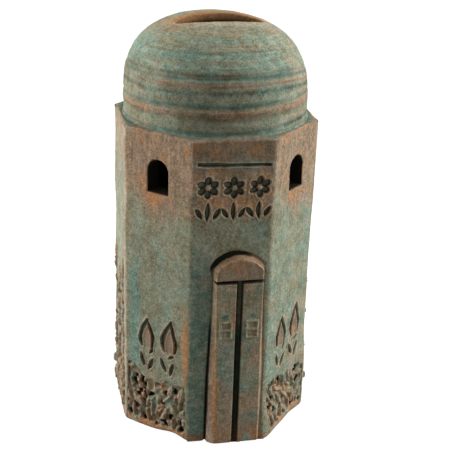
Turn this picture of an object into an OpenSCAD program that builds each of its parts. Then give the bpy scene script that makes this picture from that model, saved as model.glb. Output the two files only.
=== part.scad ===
// Domed octagonal charity box in slab-built stoneware, with a thrown dome and a rubber stopper.
// Millimetres, +Z up. The origin is on the table under the middle of the body, and the door faces -Y.

/* [Body] */
// Distance across the flats of the octagonal body
across_flats = 68; // [64:1:84]
// Height from the table to the top of the deck
body_h = 115; // [108:1:140]
// Thickness of the eight wall slabs
wall_t = 6; // [4.5:0.5:8]
// Thickness of the floor slab
floor_t = 6; // [5:0.5:9]
// Thickness of the deck slab that carries the dome
deck_t = 6; // [4:0.5:7.5]
// Width of the softened arris on each upright corner
arris = 1.2; // [0.6:0.1:2]
// Fall of the deck's top from the coil to the corners
deck_fall = 0.8; // [0.3:0.1:1.5]

/* [Dome] */
// Ledge left between the dome's foot and the flats of the body
dome_ledge = 1.8; // [1.2:0.1:4]
// Height of the upright drum at the foot of the dome
drum_h = 7.3; // [5:0.1:12]
// Height of the rounded cap above the drum
cap_h = 27.1; // [24:0.1:36]
// Fullness of the cap, where 2 is an ellipse
cap_power = 2.5; // [2:0.05:3]
// Wall thickness of the dome
dome_t = 5; // [4:0.5:7]
// Heights of the deep throwing rings above the deck
deep_rings = [10.1, 19.6]; // [3:0.1:24]
// Heights of the light throwing rings above the deck
light_rings = [5.6, 14.7, 23.6]; // [3:0.1:24]
// Depth of a deep throwing ring
deep_ring_depth = 0.5; // [0.3:0.1:1.2]
// Depth of a light throwing ring
light_ring_depth = 0.3; // [0.2:0.1:0.8]
// Radius of the fingertip that made the rings
ring_r = 1.5; // [1.2:0.1:2]
// Width and height of the coil that seals the dome to the deck
coil_w = 1.4; // [0.8:0.1:1.8]
// Thickness of the coil's thin edges
coil_edge = 0.2; // [0.1:0.05:0.4]

/* [Coin slot] */
// Length of the coin slot between its points
slot_l = 32; // [26:1:36]
// Width of the coin slot at its middle
slot_w = 11.4; // [7:0.2:12]
// Distance of the slot in front of the dome's crown
slot_forward = 4.5; // [0:0.5:8]
// Turn of the slot from the line of the front wall
slot_turn = 4; // [0:1:10]

/* [Windows] */
// Width of an arched window
window_w = 8; // [5:0.5:11]
// Height of an arched window
window_h = 11.4; // [9:0.2:14]
// Distance from the deck's top down to the crown of a window
window_drop = 9.7; // [9:0.1:16]

/* [Door] */
// Width of the door across its front
door_w = 16.4; // [14:0.2:18]
// Height of the door's crown above the table
door_h = 73.4; // [50:0.2:80]
// Height of the arched head of the door
head_h = 7.8; // [7:0.1:12]
// Thickness of the door slabs
door_t = 3.2; // [2:0.1:4.5]
// Slope of the door's edges, measured along the wall
door_bevel = 1.8; // [1:0.1:2.4]
// Bare strip between the door's right edge and the arris
door_margin = 0.1; // [0:0.1:3]
// Radius of the arch at the door's front
arch_r = 10; // [9:0.1:11]
// Gap between the two leaves
leaf_gap = 2.2; // [1:0.1:3]
// Gap between the leaves and the arched head
head_gap = 1.2; // [0.6:0.1:2]
// Height of the door's foot above the table
door_foot = 0.5; // [0.2:0.1:1.5]
// Width of the stamped plaque on each leaf
plaque_w = 4.6; // [3:0.1:5]
// Height of the stamped plaque
plaque_h = 7.6; // [7:0.1:14]
// Thickness of the stamped plaque
plaque_t = 0.8; // [0.5:0.1:1.5]
// Width of the bars round the plaque's two panes
plaque_bar = 1; // [0.6:0.1:1.2]
// Distance from the top of a leaf down to the plaque's middle
plaque_drop = 17.5; // [8:0.1:40]

/* [Carving] */
// Depth of every carved stroke
carve_depth = 0.9; // [0.4:0.1:1.5]
// Distance from the deck's top down to the line over the frieze
line_drop = 8.7; // [8.5:0.1:10.5]
// Height of the line over the frieze
line_h = 1.2; // [0.6:0.1:1.8]
// Bare ends of the line over the frieze
line_margin = 1.6; // [1.4:0.1:5]
// Distance from the deck's top down to the middle of the frieze
frieze_drop = 16.6; // [16:0.1:24]
// Number of rosettes in the frieze
rosettes = 3; // [1:1:3]
// Distance between the middles of two rosettes
rosette_pitch = 8.8; // [8.4:0.1:9.5]
// Diameter of a rosette
rosette_d = 8; // [6:0.1:8.4]
// Diameter of the plain hub of a rosette
hub_d = 1.5; // [1:0.1:2.4]
// Width of a rosette's petal
petal_w = 1.8; // [1:0.1:1.9]
// Length of the stem stroke under a rosette
flower_stem_l = 7; // [5:0.2:9]
// Length of the two leaf strokes beside that stem
flower_leaf_l = 4.6; // [3:0.2:4.8]
// Length of a carved leaf
leaf_l = 12.5; // [9:0.5:15]
// Width of a carved leaf
leaf_w = 6; // [4:0.2:7]
// Width of a carved stroke at its middle
stroke_w = 1.5; // [0.7:0.1:1.6]
// Length of the short strokes under a carved leaf
bract_l = 7; // [5:0.2:7.4]
// Distance between the middles of the two carved leaves on a wall
leaf_pitch = 9.2; // [8:0.1:11]
// Height of the carved leaves' foot above the table
leaf_foot = 34; // [31:0.5:36]

/* [Foliage relief] */
// Thickness of the applied foliage
sprig_t = 1; // [0.8:0.1:2.2]
// Height of the low foliage above the table
bed_h = 22; // [18:0.5:23]
// Height of the tall foliage on the two side walls
tall_h = 63; // [44:1:70]
// Height of the foot of the foliage above the table
bed_foot = 1; // [0.5:0.1:2]
// Height of the ground strip at the foot of the foliage
ground_h = 4; // [3:0.2:5]
// Bare margin beside the foliage, inside the arris
sprig_margin = 0.4; // [0:0.1:2]
// Width of a stem
stem_w = 1.5; // [1:0.1:2.2]
// Distance from the tip of a stem down to its side leaves
fork_drop = 6.5; // [4:0.5:7]
// Distance between the side leaves of a tall stem
fork_pitch = 6.8; // [5:0.2:9]
// Length of a leaf in the foliage
blade_l = 7; // [5:0.2:8]
// Width of a leaf in the foliage
blade_w = 2.8; // [1.8:0.1:3.4]
// Diameter of the dots punched in the ground strip
dot_d = 1.6; // [0.8:0.1:2]

/* [Stopper] */
// Diameter of the hole in the floor
bore_d = 26; // [22:1:32]
// Clearance between the stopper's neck and the hole
neck_clear = 0.05; // [0.02:0.01:0.1]
// Width of the stopper's flange beyond the hole
flange_w = 3; // [2:0.2:5]
// Thickness of the stopper's flange
flange_t = 2; // [1.5:0.1:2.5]
// Clearance round and under the flange in its recess
flange_clear = 0.6; // [0.3:0.1:1]
// Length of the neck above the floor
neck_rise = 4; // [3:0.5:8]
// Wall thickness of the hollow neck
neck_t = 2.2; // [1.6:0.1:3]
// Width of the grip bar across the hollow
grip_w = 4; // [3:0.1:6]

/* [Hidden] */
$fn = 96;

// The octagon. Walls are counted anticlockwise from the front.
sides = 8;
step_angle = 360 / sides;
half_angle = step_angle / 2;
apothem = across_flats / 2;
face_w = across_flats * tan(half_angle);
flat_w = face_w - 2 * arris;
FRONT = 0;
FRONT_RIGHT = 1;
RIGHT = 2;
BACK_RIGHT = 3;
BACK = 4;
BACK_LEFT = 5;
LEFT = 6;
FRONT_LEFT = 7;

wall_h = body_h - floor_t - deck_t;
dome_r = apothem - dome_ledge;
dome_inner_r = dome_r - dome_t;
lap = 1;                        // how far a cutter runs past the face that it cuts
outer_steps = 30;               // straight steps along the dome's outer cap
inner_steps = 16;               // straight steps along the dome's inner cap
door_half = door_w / 2;
head_foot = door_h - head_h;
leaf_top = head_foot - head_gap;
door_middle = flat_w / 2 - door_margin - door_bevel - door_half;
sprig_w = flat_w - 2 * sprig_margin;
stem_count = 4;
stem_pitch = sprig_w / stem_count;
stem_lean = 16;
fork_angle = 48;
bract_angle = 22;
flower_leaf_angle = 32;
bore_r = bore_d / 2;
neck_r = bore_r - neck_clear;
flange_r = bore_r + flange_w;

clay = [0.52, 0.42, 0.33];
patina = [0.45, 0.52, 0.44];
verdigris = [0.38, 0.52, 0.47];
rubber = [0.13, 0.12, 0.11];

function turned(p, a) = [p.x * cos(a) - p.y * sin(a), p.x * sin(a) + p.y * cos(a)];

// The body's outline, with a flat arris on each corner.
function body_outline() = [
    for (i = [0 : sides - 1], end = [-1, 1]) turned([end * flat_w / 2, -apothem], i * step_angle)
];

// One point of the dome's cap: turn runs from 0 at the drum to 90 at the crown.
function cap_point(r, h, turn) =
    [r * pow(cos(turn), 2 / cap_power), drum_h + h * pow(sin(turn), 2 / cap_power)];

function cap_curve(r, h, steps) = [for (i = [0 : steps]) cap_point(r, h, 90 * i / steps)];

// The outer radius of the dome at a height above the deck.
function dome_radius(z) = z <= drum_h ? dome_r
    : dome_r * pow(1 - pow((z - drum_h) / cap_h, cap_power), 1 / cap_power);

// Puts its children on a wall: X along the wall, -Y out of it, Z up, with the wall's face at Y = 0.
module on_wall(wall) {
    rotate([0, 0, wall * step_angle]) translate([0, -apothem, 0]) children();
}

// A flat shape drawn in X and Z, as a cutter that goes into the wall's face.
module carved(depth) {
    translate([0, depth, 0]) rotate([90, 0, 0]) linear_extrude(depth + lap) children();
}

// A flat shape drawn in X and Z, as clay laid on the wall's face.
module applied(thickness) {
    rotate([90, 0, 0]) linear_extrude(thickness) children();
}

// A pointed leaf shape that stands on its lower point.
module blade(l, w) {
    r = (l * l + w * w) / (4 * w);
    translate([0, l / 2])
        intersection() {
            translate([r - w / 2, 0]) circle(r, $fn = 160);
            translate([w / 2 - r, 0]) circle(r, $fn = 160);
        }
}

module window_shape() {
    r = window_w / 2;
    translate([-r, 0]) square([window_w, window_h - r]);
    translate([0, window_h - r]) circle(r);
}

// A leaf drawn with two strokes that stay apart at the points.
module leaf_outline() {
    difference() {
        blade(leaf_l, leaf_w);
        translate([0, -stroke_w / 2]) blade(leaf_l + stroke_w, leaf_w - 2 * stroke_w);
    }
}

// A carved leaf on two short strokes that meet below it.
module leaf_sprig(lean) {
    rotate(-lean) {
        leaf_outline();
        for (side = [-1, 1])
            translate([side * stroke_w, -bract_l - stroke_w])
                rotate(-side * bract_angle) blade(bract_l, stroke_w);
    }
}

module sprig_pair(lean) {
    for (side = [-1, 1])
        translate([side * leaf_pitch / 2, leaf_foot]) leaf_sprig(side * lean);
}

// Six petals round a plain hub.
module rosette() {
    for (k = [0 : 5])
        rotate(60 * k) translate([0, hub_d / 2]) blade((rosette_d - hub_d) / 2, petal_w);
}

// The stem under a rosette, with a leaf stroke on either side of its foot.
module rosette_stem() {
    translate([0, -rosette_d / 2 - stroke_w / 2 - flower_stem_l]) {
        blade(flower_stem_l, stroke_w);
        for (side = [-1, 1])
            translate([side * stroke_w, stroke_w / 2])
                rotate(-side * flower_leaf_angle) blade(flower_leaf_l, stroke_w);
    }
}

// The row of rosettes on their stems, with a line above it.
module frieze() {
    line_w = face_w - 2 * line_margin;
    for (k = [0 : rosettes - 1])
        translate([(k - (rosettes - 1) / 2) * rosette_pitch, body_h - frieze_drop]) {
            rosette();
            rosette_stem();
        }
    translate([-line_w / 2, body_h - line_drop - line_h / 2]) square([line_w, line_h]);
}

// A plain wall slab that stands on the floor, mitred at both ends.
module wall_slab() {
    outer = face_w / 2;
    inner = outer - wall_t * tan(half_angle);
    mitre_x = outer - arris * sin(half_angle) * sin(half_angle);
    mitre_y = arris * sin(half_angle) * cos(half_angle);
    translate([0, 0, floor_t])
        linear_extrude(wall_h)
            polygon([
                [-flat_w / 2, 0], [flat_w / 2, 0], [mitre_x, mitre_y], [inner, wall_t],
                [-inner, wall_t], [-mitre_x, mitre_y]
            ]);
}

module wall_front() {
    color(clay) on_wall(FRONT)
        difference() {
            wall_slab();
            carved(carve_depth) frieze();
        }
}

// A diagonal wall, with a window and two carved sprigs.
module window_wall(wall, lean) {
    color(patina) on_wall(wall)
        difference() {
            wall_slab();
            translate([0, 0, body_h - window_drop - window_h]) carved(wall_t + lap) window_shape();
            carved(carve_depth) sprig_pair(lean);
        }
}

module side_wall(wall) {
    color(patina) on_wall(wall) wall_slab();
}

module wall_back() {
    color(patina) on_wall(BACK)
        difference() {
            wall_slab();
            carved(carve_depth) sprig_pair(6);
        }
}

// The octagonal slab that the walls stand on, with the stopper's hole and recess.
module floor_slab() {
    recess_h = flange_t + flange_clear;
    recess_r = flange_r + flange_clear;
    color(clay)
        difference() {
            linear_extrude(floor_t) polygon(body_outline());
            translate([0, 0, -lap]) cylinder(h = floor_t + 2 * lap, r = bore_r);
            translate([0, 0, -lap]) cylinder(h = recess_h + lap, r = recess_r);
        }
}

// The octagonal slab that closes the walls and carries the dome, with its top falling to the corners.
module deck_slab() {
    level_r = dome_r + coil_w;
    corner_r = apothem / cos(half_angle);
    color(verdigris)
        translate([0, 0, body_h - deck_t])
            intersection() {
                linear_extrude(deck_t) polygon(body_outline());
                rotate_extrude()
                    polygon([
                        [dome_inner_r, 0], [corner_r, 0], [corner_r, deck_t - deck_fall],
                        [level_r, deck_t], [dome_inner_r, deck_t]
                    ]);
            }
}

// The soft coil that seals the dome's foot, hollowed by a fingertip.
module luting_coil() {
    color(verdigris)
        translate([0, 0, body_h])
            rotate_extrude()
                difference() {
                    translate([dome_r, 0]) square(coil_w);
                    translate([dome_r + coil_w, coil_w]) circle(coil_w - coil_edge, $fn = 48);
                }
}

module slot_shape() {
    translate([0, -slot_forward]) rotate(slot_turn - 90) translate([0, -slot_l / 2]) blade(slot_l, slot_w);
}

// The mark that a fingertip leaves at a height on the turning dome, in profile.
module finger_ring(z, depth) {
    translate([dome_radius(z) + ring_r - depth, z]) circle(ring_r, $fn = 48);
}

// The thrown dome: a revolved shell with finger rings, cut through by the coin slot.
module dome() {
    outer_curve = cap_curve(dome_r, cap_h, outer_steps);
    inner_curve = cap_curve(dome_inner_r, cap_h - dome_t, inner_steps);
    color(verdigris)
        translate([0, 0, body_h])
            difference() {
                rotate_extrude()
                    difference() {
                        polygon(concat([[0, 0], [dome_r, 0]], outer_curve));
                        polygon(concat([[0, -lap], [dome_inner_r, -lap]], inner_curve));
                        for (z = deep_rings) finger_ring(z, deep_ring_depth);
                        for (z = light_rings) finger_ring(z, light_ring_depth);
                    }
                translate([0, 0, drum_h]) linear_extrude(cap_h + lap) slot_shape();
            }
}

// The plan of a door slab, with its outer edges sloped.
module door_plan(left, right, slope_left, slope_right) {
    polygon([
        [left - slope_left, 0], [right + slope_right, 0], [right, -door_t], [left, -door_t]
    ]);
}

module door_head() {
    color(clay) on_wall(FRONT) translate([door_middle, 0, 0])
        intersection() {
            translate([0, 0, head_foot])
                linear_extrude(head_h + door_bevel)
                    door_plan(-door_half, door_half, door_bevel, door_bevel);
            translate([0, 0, door_h - arch_r])
                rotate([90, 0, 0]) cylinder(h = door_t, r1 = arch_r + door_bevel, r2 = arch_r);
        }
}

module door_leaf(side) {
    near = leaf_gap / 2;
    color(clay) on_wall(FRONT) translate([door_middle, 0, door_foot])
        linear_extrude(leaf_top - door_foot)
            if (side < 0) door_plan(-door_half, -near, door_bevel, 0);
            else door_plan(near, door_half, 0, door_bevel);
}

// A stamped tile with two panes, on a leaf of the door.
module door_plaque(side) {
    pane_w = plaque_w - 2 * plaque_bar;
    pane_h = (plaque_h - 3 * plaque_bar) / 2;
    leaf_middle = (leaf_gap / 2 + door_half) / 2;
    color(clay) on_wall(FRONT)
        translate([door_middle + side * leaf_middle, -door_t, leaf_top - plaque_drop])
            applied(plaque_t)
                difference() {
                    translate([-plaque_w / 2, -plaque_h / 2]) square([plaque_w, plaque_h]);
                    for (row = [-1, 1])
                        translate([-pane_w / 2, row * (pane_h + plaque_bar) / 2 - pane_h / 2])
                            square([pane_w, pane_h]);
                }
}

// A low stem with a leaf at its tip and a pair of leaves below it.
module low_stem(stem_l) {
    translate([-stem_w / 2, 0]) square([stem_w, stem_l]);
    translate([0, stem_l - stem_w / 2]) blade(blade_l, blade_w);
    for (side = [-1, 1])
        translate([0, stem_l - fork_drop]) rotate(side * fork_angle) blade(blade_l, blade_w);
}

// A tall stem with a leaf at its tip and side leaves to the left and right by turns. Its hand is 1 or -1.
module tall_stem(stem_l, hand) {
    forks = floor((stem_l - fork_drop) / fork_pitch);
    translate([-stem_w / 2, 0]) square([stem_w, stem_l]);
    translate([0, stem_l - stem_w / 2]) blade(blade_l, blade_w);
    for (k = [0 : forks])
        translate([0, stem_l - fork_drop - k * fork_pitch])
            rotate((k % 2 == 0 ? hand : -hand) * fork_angle) blade(blade_l, blade_w);
}

// The strip of ground under the foliage, with a row of punched dots.
module ground_strip() {
    dot_pitch = (sprig_w - ground_h) / stem_count;
    difference() {
        translate([-sprig_w / 2, 0]) square([sprig_w, ground_h]);
        for (k = [0 : stem_count])
            translate([(k - stem_count / 2) * dot_pitch, ground_h / 2]) circle(d = dot_d, $fn = 32);
    }
}

// The low foliage along the foot of a wall: leaning stems that grow from the ground strip.
module low_foliage(phase) {
    rooted = stem_w / 2;
    stem_l = bed_h - bed_foot - ground_h - blade_l + stem_w / 2;
    ground_strip();
    intersection() {
        translate([-sprig_w / 2, 0]) square([sprig_w, bed_h]);
        for (k = [0 : stem_count - 1])
            translate([(k - (stem_count - 1) / 2) * stem_pitch, ground_h - rooted])
                rotate(stem_lean * cos(110 * k + phase)) low_stem(stem_l + rooted);
    }
}

// The tall foliage on a side wall: three upright stems that rise out of the low foliage, the middle one shorter.
module tall_foliage(phase) {
    rooted = stem_w / 2;
    stem_l = tall_h - bed_foot - ground_h - blade_l + stem_w / 2;
    low_foliage(phase);
    intersection() {
        translate([-sprig_w / 2, 0]) square([sprig_w, tall_h]);
        for (side = [-1, 0, 1])
            translate([side * (stem_count - 1) / 2 * stem_pitch, ground_h - rooted])
                if (side == 0)
                    tall_stem(stem_l + rooted - fork_pitch, -1);
                else
                    tall_stem(stem_l + rooted, 1);
    }
}

module foliage(wall, phase) {
    color(patina) on_wall(wall) translate([0, 0, bed_foot]) applied(sprig_t) low_foliage(phase);
}

module side_foliage(wall, phase) {
    color(patina) on_wall(wall) translate([0, 0, bed_foot]) applied(sprig_t) tall_foliage(phase);
}

// The hollow rubber plug, with a bar across its hollow for a finger and thumb.
module stopper() {
    base = flange_clear;
    neck_top = floor_t + neck_rise;
    nose = neck_t / 2;
    hollow_r = neck_r - neck_t;
    color(rubber) {
        rotate_extrude()
            polygon([
                [hollow_r, base], [flange_r, base], [flange_r, base + flange_t],
                [neck_r, base + flange_t], [neck_r, neck_top - nose], [neck_r - nose, neck_top],
                [0, neck_top], [0, neck_top - neck_t], [hollow_r, neck_top - neck_t]
            ]);
        intersection() {
            translate([0, 0, base]) cylinder(h = neck_top - neck_t / 2 - base, r = hollow_r + neck_t / 2);
            translate([-bore_d, -grip_w / 2, base + flange_t / 2]) cube([2 * bore_d, grip_w, neck_top]);
        }
    }
}

floor_slab();
wall_front();
window_wall(FRONT_RIGHT, 4);  // wall_front_right
side_wall(RIGHT);  // wall_right
window_wall(BACK_RIGHT, 7);  // wall_back_right
wall_back();
window_wall(BACK_LEFT, 4);  // wall_back_left
side_wall(LEFT);  // wall_left
window_wall(FRONT_LEFT, 7);  // wall_front_left
deck_slab();
luting_coil();
dome();
door_head();
door_leaf(-1);  // door_leaf_left
door_leaf(1);  // door_leaf_right
door_plaque(-1);  // door_plaque_left
door_plaque(1);  // door_plaque_right
foliage(FRONT_RIGHT, 40);  // foliage_front_right
side_foliage(RIGHT, 80);  // foliage_right
foliage(BACK_RIGHT, 120);  // foliage_back_right
foliage(BACK, 160);  // foliage_back
foliage(BACK_LEFT, 200);  // foliage_back_left
side_foliage(LEFT, 240);  // foliage_left
foliage(FRONT_LEFT, 280);  // foliage_front_left
stopper();
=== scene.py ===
"""The looks of a domed octagonal charity box: slab-built stoneware under a worn copper-green wash."""
import math
from itertools import product

import bmesh
import bpy
import numpy as np
from mathutils import Matrix, Vector


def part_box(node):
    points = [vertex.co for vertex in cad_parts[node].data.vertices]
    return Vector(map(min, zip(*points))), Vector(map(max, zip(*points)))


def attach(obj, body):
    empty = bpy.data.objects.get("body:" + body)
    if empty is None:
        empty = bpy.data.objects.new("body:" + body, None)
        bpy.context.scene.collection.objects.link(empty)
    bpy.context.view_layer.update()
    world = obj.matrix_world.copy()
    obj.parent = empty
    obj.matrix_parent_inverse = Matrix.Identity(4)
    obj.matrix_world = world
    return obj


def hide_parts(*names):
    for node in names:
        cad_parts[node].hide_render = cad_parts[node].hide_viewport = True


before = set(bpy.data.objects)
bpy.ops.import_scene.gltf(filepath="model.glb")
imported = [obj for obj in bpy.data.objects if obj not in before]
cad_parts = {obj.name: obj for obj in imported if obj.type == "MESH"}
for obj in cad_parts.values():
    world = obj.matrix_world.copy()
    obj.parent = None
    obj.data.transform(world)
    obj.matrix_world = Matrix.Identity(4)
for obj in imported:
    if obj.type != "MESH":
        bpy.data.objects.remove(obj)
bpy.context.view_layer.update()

# Lengths in this script are millimetres. They become metres where a piece gets its mesh.
MM = 0.001
LOW, HIGH = 0, 1
X, Y, Z = 0, 1, 2

# A distance from an edge that is past any mark round it
FAR = 9.0


def side_of(node, end, axis):
    """One side of a CAD piece's box."""
    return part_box(node)[end][axis] / MM


# The body, from the frame
SIDES = 8
TURN = 2 * math.pi / SIDES
APOTHEM = -side_of("floor_slab", LOW, Y)
BODY_H = side_of("deck_slab", HIGH, Z)
FLOOR_T = side_of("floor_slab", HIGH, Z)
DECK_FOOT = side_of("deck_slab", LOW, Z)
WALL_T = APOTHEM + side_of("wall_front", HIGH, Y)
FACE_HALF = APOTHEM * math.tan(TURN / 2)
ARRIS_R = 2.4
FLAT_HALF = FACE_HALF - ARRIS_R * math.tan(TURN / 2)
WRAP_HALF = FLAT_HALF + ARRIS_R * TURN / 2
FOOT_ROUND = 1.2
SOFT_FOOT_ROUND = 3.6
FRONT_FOOT_ROUND = 0.7
DOOR_CORNER_FLARE = 2.3
RIGHT_CORNER_FLARE = 0.9
SHOULDER_ROUND = 0.7
DECK_FALL = 0.8
FRONT, FRONT_RIGHT, RIGHT, BACK_RIGHT, BACK, BACK_LEFT, LEFT, FRONT_LEFT = range(SIDES)
WALL_NAMES = ("front", "front_right", "right", "back_right", "back", "back_left", "left", "front_left")
WINDOW_WALLS = (FRONT_RIGHT, BACK_RIGHT, BACK_LEFT, FRONT_LEFT)

# How fine the clay's skin is modelled
ACROSS = 108
WALL_ROWS = 400
FLOOR_LEVELS = 26
DECK_LEVELS = 18
COIL_LEVELS = 9
DOME_COLUMNS = 384
DOME_RINGS = 150
CROWN_RINGS = 40
SLOT_RINGS = 10
INNER_CROWN_RINGS = 6
INNER_RINGS = 13
PROFILE_STEPS = 400
FOLIAGE_COLUMNS = 112
FOLIAGE_ROW = 0.24
DOOR_COLUMN = 0.2
DOOR_ROW = 0.25
PLAQUE_GRID = (30, 54)
STOPPER_STEPS = 96
CREASE_ANGLE = math.radians(75)

# The dome and its coin slot
DOME_R = side_of("dome", HIGH, X)
DOME_H = side_of("dome", HIGH, Z) - BODY_H
DRUM_H = 7.3
CAP_POWER = 2.5
DOME_T = 5
DOME_LEAN = 0.013
CROWN_R = 21
INNER_CROWN_R = 19
SLOT_HALF_L = 16
SLOT_HALF_W = 5.7
SLOT_FORWARD = 4.5
SLOT_TURN = math.radians(4)
SLOT_LIP = 0.6
COIL_W = 1.4
COIL_SUNK = 0.9
COIL_LAP = 0.4

# The finger rings round the dome, by their height over the deck, and where they sag
DEEP_RINGS = (10.1, 19.6)
LIGHT_RINGS = (5.6, 14.7, 23.6)
LIGHT_RING = 0.22
GROOVE_DROP = 0.7
GROOVE_W = 0.95
GROOVE_DEPTH = 0.42
LEDGE = 0.3
FACING = math.radians(-108)
SAG_SIDE = math.radians(92)
SAG_REACH = math.radians(32)

# Streaks of the wash round the dome, whose cut rows are dark wash together with painted shade along the
# finger rings: height over the deck, half width, mask and strength
DOME_STREAKS = (
    (31.4, 0.9, "warm", 0.55), (29.0, 0.9, "teal", 0.6), (27.3, 0.6, "warm", 0.3), (26.3, 0.4, "cut", 0.24),
    (25.2, 0.9, "teal", 1.0), (24.0, 0.4, "warm", 0.25), (22.9, 0.5, "teal", 0.6), (21.8, 0.8, "teal", 1.0),
    (20.4, 0.5, "warm", 0.3), (20.1, 0.7, "cut", 0.32), (18.7, 1.0, "cut", 0.34), (18.8, 1.1, "teal", 1.0),
    (16.7, 0.6, "warm", 0.9), (16.5, 0.6, "cut", 0.26), (14.3, 1.1, "cut", 0.3), (13.6, 0.9, "teal", 0.9),
    (12.1, 0.5, "warm", 0.2), (10.4, 1.2, "teal", 1.0), (9.8, 1.2, "cut", 0.3), (7.3, 1.6, "warm", 1.0),
    (6.4, 1.7, "cut", 0.28), (3.2, 0.8, "teal", 0.35), (1.4, 1.0, "cut", 0.36), (1.0, 0.9, "teal", 1.0),
)

# The arched windows
WINDOW_HALF = 4
WINDOW_TOP = BODY_H - 9.7
WINDOW_SILL = WINDOW_TOP - 11.4
WINDOW_ROUND = 0.8

# The door, from the frame
DOOR_T = -side_of("door_head", LOW, Y) - APOTHEM
DOOR_LEFT = side_of("door_head", LOW, X)
DOOR_RIGHT = side_of("door_head", HIGH, X)
DOOR_MIDDLE = (DOOR_LEFT + DOOR_RIGHT) / 2
DOOR_HALF = (DOOR_RIGHT - DOOR_LEFT) / 2
HEAD_FOOT = side_of("door_head", LOW, Z)
DOOR_TOP = side_of("door_head", HIGH, Z)
DOOR_BEVEL = 1.8
DOOR_DRAW_IN = 1.1
DRAW_IN_Z = (22, 62)
ARCH_R = 10 + DOOR_BEVEL
LEAF_FOOT = side_of("door_leaf_left", LOW, Z)
LEAF_TOP = side_of("door_leaf_left", HIGH, Z)
LEAF_LEFT_EDGE = side_of("door_leaf_left", HIGH, X)
LEAF_RIGHT_EDGE = side_of("door_leaf_right", LOW, X)
GAP_ROUND = 0.35
DOOR_FOOT_ROUND = 1.6
GAP_MIDDLE = (LEAF_LEFT_EDGE + LEAF_RIGHT_EDGE) / 2
GAP_FLOOR = 1.1
GAP_REACH = 2.5
DOOR_LET_IN = 2
PLAQUE_TOP = side_of("door_plaque_left", HIGH, Z)

# The carving
CARVE = 0.9
TOOL_R = 0.5
BURR = 0.22
STROKE_W = 1.8
LINE_Z = BODY_H - 8.7
LINE_HALF = FACE_HALF - 1.6
LINE_HALF_H = 0.6
LINE_TILT = -0.03
ROSETTE_Z = BODY_H - 16.6
ROSETTE_PITCH = 8.8
ROSETTE_R = 4
HUB_R = 0.75
PETAL_W = 2.5
FLOWER_STEM_L = 7
FLOWER_LEAF_L = 4.6
FLOWER_LEAF_ANGLE = 32
SPRIG_FOOT = 34
SPRIG_PITCH = 9.2
SPRIG_L = 12.5
SPRIG_HALF = 2.8
SPRIG_W = 1.8
SPRIG_WALLS = {FRONT_RIGHT: 0.2, BACK_RIGHT: 0.8, BACK: 0.4, BACK_LEFT: 0.6, FRONT_LEFT: 0.5}
SPRIG_BELLY = 0.3
BRACT_L = 6.2
BRACT_ANGLE = 20
BRACT_ASIDE = 0.8
BRACT_DROP = 2.6
CURL = (3.2, 1.3)
CURL_ANGLE = 40
CURL_DROP = 2.4

# The foliage
FOLIAGE_PHASE = {
    FRONT_RIGHT: 40, RIGHT: 80, BACK_RIGHT: 120, BACK: 160, BACK_LEFT: 200, LEFT: 240, FRONT_LEFT: 280,
}
TALL_WALLS = (RIGHT, LEFT)
BED_FOOT = 1
BED_TOP = 22
TALL_TOP = 63
GROUND_H = 3
BED_HALF = FACE_HALF - 1.2
STEMS = 4
STEM_PITCH = 2 * BED_HALF / STEMS
STEM_W = 1.3
STEM_LEAN = 16
FORK_DROP = 6.5
FORK_PITCH = 6.8
FORK_ANGLE = 48
BLADE = (7, 2.8)
RIDGE = 0.65
TALL_RIDGE = 0.9
VEIN_DEPTH = 0.35
VEIN_W = 0.25
TWIGS = 7
GOUGES = 14
TALL_GOUGES = 14
SUNK = 1.6
RAISED = 1.2
EDGE_TUCK = 2.4
BACK_DEPTH = 3.2

# How far the carver's hand varies in the foliage, from the least to the most
LEAF_GROOVE = (0.3, 1.0)
LEAF_SWELL = (0.5, 1.1)
TWIG_LEAN = (-70, 70)
TWIG_L = (2.5, 5.5)
TWIG_W = (1.1, 1.7)
TWIG_GROOVE = (0.2, 0.7)
TWIG_SWELL = (0.1, 0.9)
GOUGE_LEAN = (-60, 60)
GOUGE_L = (2, 4.6)
GOUGE_W = (1.4, 2.5)
GOUGE_DEPTH = (0.7, 1.5)

# The stopper and the hole that it closes
BORE_R = 13
RECESS_R = 16.6
RECESS_H = 2.6
FLANGE_R = side_of("stopper", HIGH, X)
FLANGE_FOOT = side_of("stopper", LOW, Z)
FLANGE_T = 2
NECK_R = 12.95
NECK_TOP = side_of("stopper", HIGH, Z)
NECK_T = 2.2
GRIP_W = 4
RUBBER_ROUND = 0.4
GRIP_ROUND = 0.8
SHARP_ANGLE = math.radians(30)
RUBBER_CREASE_ANGLE = math.radians(40)

# The camera: it stands at the photograph's viewing angle and looks at a point on the box
CAMERA_TURN = math.radians(-12.92)
CAMERA_RISE = math.radians(22.36)
CAMERA_ROLL = math.radians(2.06)
CAMERA_REACH = 388.4
CAMERA_LENS = 83.3
CAMERA_AIM = Vector((5.5, 0, 70.5))
CAMERA_SENSOR = 36
CAMERA_CLIP = 10

# What varies over the fired surface, as one number per point for each: soot in cuts together with painted
# shade in creases, gaps, hollows and the dark inside, wear down to pale clay and in places a painted
# highlight, ruddy clay, bare brown clay and copper-green wash
MASKS = ("cut", "rub", "orange", "warm", "teal")

# Where the bare clay begins at the top of the walls, and how softly
BARE_FROM = {FRONT: 92, FRONT_LEFT: 88, FRONT_RIGHT: 92}
BARE_FROM_ELSEWHERE = 97
BARE_BLEND = 13

# How much less ruddy the foot of the front-right wall was fired
PALE_FOOT = 0.45

# Soft patches on a wall: mask, strength, place along it and half width, place up it and half height
WALL_PATCHES = {
    FRONT: (("teal", 0.6, 10, 3, 82, 8),),
    FRONT_LEFT: (("teal", 0.55, 4, 4, 52, 9), ("teal", 0.5, 0.5, 3, 41, 6)),
}
WINDOW_PATCHES = (
    ("orange", 1, -1.8, 4.8, WINDOW_SILL - 1.8, 3.6),
    ("orange", 0.75, -WINDOW_HALF - 1.6, 1.8, WINDOW_SILL + 3, 6),
    ("warm", 0.95, 0, 7, WINDOW_SILL - 4, 6.5),
)


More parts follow.
